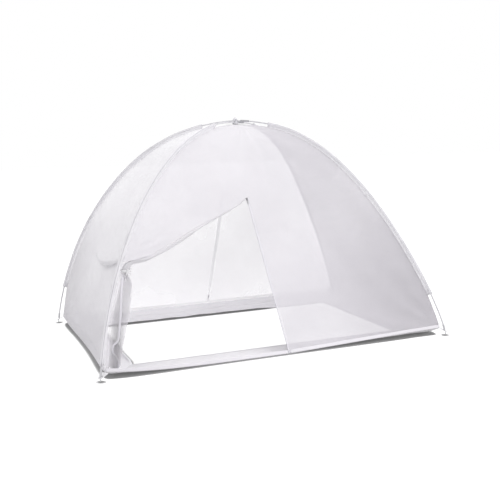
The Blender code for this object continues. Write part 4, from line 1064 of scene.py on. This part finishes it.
def build_flap():
    rows, places, along, previous = [], [], 0.0, None
    part = np.linspace(0, 1, PANEL_POINTS + 1)[1:, None]
    for kind, (centre, up, outward, half_up, half_out, edge) in flap_stations():
        along += 0.0 if previous is None else np.linalg.norm(centre - previous)
        previous = centre
        shape = section(kind, along)
        row = centre + up * shape[:, :1] * half_up + outward * shape[:, 1:] * half_out
        if kind == 1.0:
            near_foot = max(0.0, 1 - (centre[2] - FLAP_FOOT) / 0.10)
            u = np.linspace(0, 1, SECTION_POINTS)
            row[:, 2] += near_foot * (0.010 * (1 + np.sin(7 * u + 1.0)) + 0.005 * np.sin(31 * u))
        # From the roll or bunch the net runs on to the fold of the wall or to the seam at the pole.
        gap = edge - row[-1]
        gathers = np.sin(TURN * PANEL_FOLDS * part + 0.8 * math.sin(along * 9)) * np.sin(math.pi * part)
        panel = row[-1] + gap * part + outward * gathers * 0.16 * min(0.05, np.linalg.norm(gap)) * kind
        row = np.concatenate((row, panel))
        rows.append(row)
        places.append(np.stack((run_lengths(row), np.full(len(row), along)), -1))
    rows, places = np.array(rows), np.array(places)
    return one_grid("front_door_flap_cloth", rows, places, netting["flap"], "front_door_flap", "flap_netting")


flap = build_flap()


# Ribbons: the flap's own zip tape, the tails of the strap and the wraps of the pole tie
FLAP_TAPE_WIDTH = 0.011
FLAP_TAPE_TWIST = 1.2
FLAP_TAPE_ROUTE = (
    ((-0.872, -0.637, 0.508), (-0.884, -0.645, 0.440), (-0.892, -0.650, 0.360), (-0.903, -0.655, 0.270))
    + ((-0.918, -0.662, 0.190), (-0.945, -0.668, 0.165), (-0.950, -0.672, 0.130))
    + ((-0.930, -0.676, 0.095), (-0.927, -0.676, 0.060), (-0.936, -0.674, 0.024))
)


def smooth_line(line, steps):
    """A curve through points, in even steps."""
    line = np.array(line, float)
    lengths = run_lengths(line)
    end = len(line) - 1
    made = []
    for wanted in np.linspace(0, lengths[-1], steps):
        k = min(end - 1, max(0, int(np.searchsorted(lengths, wanted, side="right")) - 1))
        t = (wanted - lengths[k]) / (lengths[k + 1] - lengths[k])
        p0, p1, p2, p3 = line[max(0, k - 1)], line[k], line[k + 1], line[min(end, k + 2)]
        bend = (2 * p0 - 5 * p1 + 4 * p2 - p3) * t**2 + (3 * p1 - p0 - 3 * p2 + p3) * t**3
        made.append(0.5 * (2 * p1 + (p2 - p0) * t + bend))
    return np.array(made)


def ribbon(name, line, facing, width, thickness, made_of, replaced, slot, steps, twist=0.0):
    """A flat strap along a smooth line through points, its face turned towards a direction."""
    line = smooth_line(line, steps)
    rows = []
    for number, (place, run) in enumerate(zip(line, np.gradient(line, axis=0))):
        ahead = unit(run)
        turned = Matrix.Rotation(twist * number / steps, 3, Vector(ahead)) @ Vector(facing)
        side = unit(np.cross(ahead, np.array(turned)))
        rows.append([place + side * u for u in np.linspace(-0.5, 0.5, 5) * width])
    rows = np.array(rows)
    places = flat_places(rows) + (width / 2, 0.0)
    return one_grid(name, rows, places, made_of, replaced, slot, thickness=thickness)


flap_tape = ribbon(
    "front_door_flap_tape", FLAP_TAPE_ROUTE, (0.2, -1.0, 0.1), FLAP_TAPE_WIDTH, TAPE_THICKNESS,
    weave["zip_tape"], "front_door_flap", "zip_tape", 140, FLAP_TAPE_TWIST,
)


# The strap that ties the flap back, with a small knot and two tails
STRAP_THICKNESS = 0.0012
KNOT_HALF_SIZES = (0.0070, 0.0045, 0.0060)
KNOT_RINGS = 13
TAIL_WIDTH = 0.008
TAIL_THICKNESS = 0.001
# How far each tail has swung aside at its points, as a share, and where they are from the knot.
TAIL_ROUTE = ((0.0, 0.0, 0.0), (0.5, -0.004, -0.010), (0.8, -0.004, -0.017), (1.0, -0.002, -0.024))
TAIL_ENDS = {"left": -0.010, "right": 0.014}


def build_strap():
    webbing = (weave["webbing"], "tie_back_strap", "webbing")
    centre = bunch_station(STRAP_HEIGHT, NECK_HALF_WIDTH, NECK_HALF_DEPTH, 0.0)[0]
    turns, part = circle(48), np.linspace(-0.5, 0.5, 7)[:, None]
    bulge = STRAP_THICKNESS - 0.0006 * (2 * part) ** 2 + 0.0006 * np.sin(5 * turns + 1.5)
    x = centre[0] + np.cos(turns) * (NECK_HALF_WIDTH + bulge)
    y = centre[1] + np.sin(turns) * (NECK_HALF_DEPTH + bulge)
    rows = np.stack((x, y, STRAP_HEIGHT + part * STRAP_WIDTH + 0.0015 * np.sin(turns)), -1)
    places = pairs(turns * NECK_HALF_WIDTH, np.linspace(0, STRAP_WIDTH, 7))[..., ::-1]
    one_grid("tie_back_strap_webbing", rows, places, *webbing, closed=True, thickness=STRAP_THICKNESS)
    knot_at = centre + (0.006, -NECK_HALF_DEPTH - 0.003, 0.003)
    turns, ring = circle(24), np.arange(KNOT_RINGS)[:, None]
    lift = math.pi * (ring + 0.02) / (KNOT_RINGS - 0.96)
    size = 1 + 0.16 * np.sin(3 * turns + 4 * lift) + 0.08 * np.sin(5 * lift)
    ball = (size * np.sin(lift) * np.cos(turns), size * np.sin(lift) * np.sin(turns), size * np.cos(lift))
    knot = np.stack(ball, -1) * KNOT_HALF_SIZES
    one_grid("tie_back_strap_knot", knot_at + knot, knot[..., ::2], *webbing, closed=True)
    for name, end in TAIL_ENDS.items():
        line = knot_at + np.array(TAIL_ROUTE) * (end, 1.0, 1.0)
        name = f"tie_back_strap_{name}_tail"
        ribbon(name, line, (0.1, -1.0, 0.0), TAIL_WIDTH, TAIL_THICKNESS, *webbing, 24)


build_strap()


# Corner tabs
def outline_reach(outline, turns):
    """How far an outline round the origin lies in each direction."""
    x, y = outline.T
    run_x, run_y = (np.roll(outline, -1, axis=0) - outline).T
    ray_x, ray_y = np.cos(turns)[:, None], np.sin(turns)[:, None]
    cross = ray_x * run_y - ray_y * run_x
    cross = np.where(np.abs(cross) < 1e-12, np.nan, cross)
    reach = (x * run_y - y * run_x) / cross
    part = (x * ray_y - y * ray_x) / cross
    return np.where((reach > 0) & (part >= -1e-9) & (part <= 1 + 1e-9), reach, np.inf).min(axis=1)


def build_tab(name, corner):
    out = outward_of(corner)
    foot = np.array((corner[0] * foot_x, corner[1] * foot_y, PIN_RADIUS))
    pole_share = share_at_height(PIN_LENGTH + CAP_LENGTH + FERRULE_LENGTH / 4)
    pin_up = unit(arc_point(corner, pole_share) - foot)
    pin_up = out * (pin_up[1] / out[1]) + (0.0, 0.0, pin_up[2])
    start = out * (half_diagonal + 3 * CLEARANCE) + (0.0, 0.0, CORNER_RISE - TAB_THICKNESS)
    pin = foot + pin_up * ((TAB_FOOT_RISE - foot[2]) / pin_up[2])
    along, length = unit(pin - start), np.linalg.norm(pin - start)
    side = np.cross((0.0, 0.0, 1.0), out)
    normal = np.cross(along, side)
    if normal[2] < 0:
        side, normal = -side, -normal
    wide, narrow = TAB_WIDE_END / 2, TAB_NARROW_END / 2
    half = [(-length, wide), (-length * 0.75, wide), (TAB_OVERHANG * 0.4, narrow), (TAB_OVERHANG, narrow / 2)]
    outline = np.array([(x, -y) for x, y in half] + half[::-1])
    turns = circle(96)
    edge = outline_reach(outline, turns)
    hole = GROMMET_HOLE + GROMMET_BARREL + CLEARANCE
    shares = np.linspace(0, 1, 9)
    rows = []
    for share, face in [(s, 1) for s in shares] + [(s, -1) for s in shares[::-1]]:
        reach = hole + (edge - hole) * share
        half_thick = TAB_THICKNESS / 2 * (1.0 if 0.05 < share < 0.95 else 0.55)
        x, y = np.cos(turns) * reach, np.sin(turns) * reach
        z = face * half_thick + 0.0009 * share**2 * np.sin(2 * turns + corner[0])
        rows.append(x[:, None] * along + y[:, None] * side + z[:, None] * normal)
    rows = np.array([*rows, rows[0]])
    places = np.stack((rows @ side + wide, rows @ along), -1)
    made_of, replaced = weave["webbing"], name + "_corner_tab"
    one_grid(name + "_tab_webbing", pin + rows, places, made_of, replaced, "webbing", closed=True)


for name, corner in CORNERS.items():
    build_tab(name, corner)


# The patch at the top of the net and the tie that holds the poles together over it
PATCH_LIFT = 0.0012
TIE_PARTS = (0.0, 0.16, 0.42, 0.62, 0.80, 0.93, 1.0)
TIE_SIZES = (0.80, 0.98, 1.00, 0.80, 0.62, 0.42, 0.10)
TIE_RINGS, TIE_POINTS = 46, 48
WRAPS = {"first": 0.61, "second": -0.61}
WRAP_REACH = 0.017
WRAP_SWING = 0.006
WRAP_HALF_HEIGHT = 0.0145
WRAP_DROP = 0.001
WRAP_WIDTH = 0.006
WRAP_THICKNESS = 0.001
net_top = max(ridge_point(corner, TOP_HOLE_SHARE)[2] for corner in CORNERS.values())
patch_base = net_top + NET_THICKNESS / 2 + CLEARANCE


def build_patch():
    x, y = np.meshgrid(np.linspace(-1, 1, 31), np.linspace(-1, 1, 25))
    rounding = 1 - 0.25 * np.maximum(0.0, np.abs(x) + np.abs(y) - 1.8)
    px, py = x * PATCH_HALF_LENGTH * rounding, y * PATCH_HALF_WIDTH * rounding
    sag = -0.0010 * (x**2 + y**2) + 0.0004 * np.sin(7 * x + 2) * np.cos(6 * y)
    points = np.stack((px, py, patch_base + PATCH_LIFT + sag), -1)
    places = np.stack((px + PATCH_HALF_LENGTH, py), -1)
    return one_grid("top_patch_cloth", points, places, weave["webbing"], "top_patch", "webbing")


def build_tie():
    """Wound cloth round the crossing, pulled up into a rounded knot, and two dark wraps."""
    base, top = patch_base + PATCH_LIFT + CLEARANCE, ARCH_HEIGHT + TIE_RISE
    part, turns = np.linspace(0, 1, TIE_RINGS)[:, None], circle(TIE_POINTS)
    wound = 1 + 0.055 * np.sin(2 * turns + part * 40) + 0.05 * np.sin(5 * turns - part * 9)
    size = TIE_HALF_WIDTH * np.interp(part, TIE_PARTS, TIE_SIZES) * wound
    flat = 1 - 0.35 * np.maximum(0.0, part - 0.55) / 0.45
    height = base + (top - base) * part + 0.0015 * np.sin(3 * turns + 1) * (part < 0.99)
    rows = np.stack((np.cos(turns) * size, np.sin(turns) * size * flat, height), -1)
    places = np.stack(np.broadcast_arrays(height - base, turns * TIE_HALF_WIDTH), -1)
    one_grid("pole_tie_cloth", rows, places, weave["tie"], "pole_tie", "tie_cloth", True, True)
    turn = np.linspace(0, TURN, 25)[:, None]
    wrap = (WRAP_WIDTH, WRAP_THICKNESS, weave["wrap"], "pole_tie", "tie_cloth", 60)
    for name, angle in WRAPS.items():
        run = np.array((math.cos(angle), math.sin(angle), 0.0))
        aside = np.array((-math.sin(angle), math.cos(angle), 0.0)) * np.sign(angle)
        line = aside * WRAP_REACH * np.cos(turn) + run * WRAP_SWING * np.sin(2 * turn)
        line[:, 2] = ARCH_HEIGHT - WRAP_DROP + WRAP_HALF_HEIGHT * np.sin(turn[:, 0])
        ribbon(f"pole_tie_{name}_wrap", line, run, *wrap)


patch = build_patch()
build_tie()


front_closing = [front_tape, front_chain, hem_tapes[0]]
back_closing = [back_tape, back_chain, *hem_tapes[2:]]
for obj, flat, area, poles, closing in (
    (front_wall, (1.96, 1.52), 1.36, ("front_left", "front_right"), front_closing),
    (back_wall, (1.98, 1.52), 1.95, ("back_left", "back_right"), back_closing),
    (left_wall, (1.38, 1.70), 1.55, ("front_left", "back_left"), ()),
    (right_wall, (1.38, 1.70), 1.55, ("front_right", "back_right"), ()),
):
    [pole + "_sleeve" for pole in poles]
for obj, (name, corner) in zip(sleeves, CORNERS.items()):
    length = 1.40 if corner == FRONT_LEFT else 1.22
    name + "_tip"


# Floor, world, lamps and camera
FLOOR_HALF = 30.0
FLOOR_LEVEL = -0.0015
TOUCH_REACH = 0.032
WHITE = (1.0, 1.0, 1.0, 1.0)


def bare_tree(owner, output):
    """The emptied node tree of a material or world, and where its surface goes."""
    owner.use_nodes = True
    tree = owner.node_tree
    tree.nodes.clear()
    return tree, tree.nodes.new("ShaderNode" + output).inputs["Surface"]


def seen_directly(tree):
    """1 for rays that show a thing to the viewer, and 0 for rays that only light the others."""
    kinds = ("Camera", "Glossy", "Transmission")
    seen, mirrored, through = [node(tree, "LightPath", result=f"Is {kind} Ray") for kind in kinds]
    return seen.calc("MAXIMUM", mirrored).calc("MAXIMUM", through)


def stage_floor():
    """A floor that looks pale and even, with soft shade only where something touches it."""
    data = bpy.data.meshes.new("floor")
    corners = [(x * FLOOR_HALF, y * FLOOR_HALF, FLOOR_LEVEL) for x, y in ((-1, -1), (1, -1), (1, 1), (-1, 1))]
    data.from_pydata(corners, [], [(0, 1, 2, 3)])
    obj = placed("floor", data)
    made = bpy.data.materials.new("floor_paper")
    tree, surface = bare_tree(made, "OutputMaterial")
    lit = node(tree, "BsdfDiffuse", (0.62, 0.62, 0.62, 1.0))
    touch = node(tree, "AmbientOcclusion", None, TOUCH_REACH, result="AO", samples=24)
    level = touch.into("MapRange", 0.82, 1.0, 0.0, 1.0).calc("POWER", 1.3) * 0.85 + 0.11
    shown = node(tree, "BsdfDiffuse", (0.20, 0.20, 0.20, 1.0))
    shown = shown.into("AddShader", node(tree, "Emission", WHITE, level))
    tree.links.new(seen_directly(tree).into("MixShader", lit, shown).socket, surface)
    data.materials.append(made)


def studio_world():
    """White behind everything. As light it is strongest above and dimmer low down."""
    world = bpy.data.worlds.new("studio")
    bpy.context.scene.world = world
    tree, surface = bare_tree(world, "OutputWorld")
    heading = node(tree, "TexCoord", result="Generated")
    height = heading.into("VectorMath", (0.15, -0.35, 0.92), result="Value", operation="DOT_PRODUCT")
    ambient = node(tree, "Background", (0.98, 0.965, 0.99, 1.0), height.ranged(-0.6, 1.0, 0.62, 1.14))
    white = node(tree, "Background", WHITE, 1.0)
    tree.links.new(seen_directly(tree).into("MixShader", ambient, white).socket, surface)


def area_lamp(name, place, towards, size, power, colour=(1.0, 0.995, 1.0)):
    data = bpy.data.lights.new(name, "AREA")
    data.shape, data.size, data.energy, data.color = "SQUARE", size, power, colour
    obj = placed(name, data)
    obj.location = place
    obj.rotation_mode = "QUATERNION"
    obj.rotation_quaternion = (Vector(towards) - Vector(place)).to_track_quat("-Z", "Y")


stage_floor()
studio_world()
area_lamp("key", (2.9, -3.7, 3.6), (0.0, 0.0, 0.6), 2.6, 75.0)
area_lamp("top", (0.0, 0.6, 5.0), (0.0, 0.0, 0.8), 3.0, 25.0)

# The photograph's view: eye, heading, pitch and roll, and the lens for a 36 mm sensor.
EYE = Vector((-1.711, -4.557, 1.200))
HEADING, PITCH, ROLL = math.radians(21.40), math.radians(-8.22), math.radians(-1.48)
SENSOR = 36.0
FOCAL_SHARE = 790.0 / 500.0
forward = Vector((math.sin(HEADING) * math.cos(PITCH), math.cos(HEADING) * math.cos(PITCH), math.sin(PITCH)))
level = forward.cross(Vector((0.0, 0.0, 1.0))).normalized()
upright = level.cross(forward)
right = level * math.cos(ROLL) + upright * math.sin(ROLL)
top = upright * math.cos(ROLL) - level * math.sin(ROLL)
camera_data = bpy.data.cameras.new("camera")
camera_data.sensor_width = SENSOR
camera_data.lens = SENSOR * FOCAL_SHARE
camera = placed("camera", camera_data)
camera.matrix_world = Matrix.Translation(EYE) @ Matrix((right, top, -forward)).transposed().to_4x4()
bpy.context.scene.camera = camera
bpy.context.scene.view_settings.view_transform = "Standard"
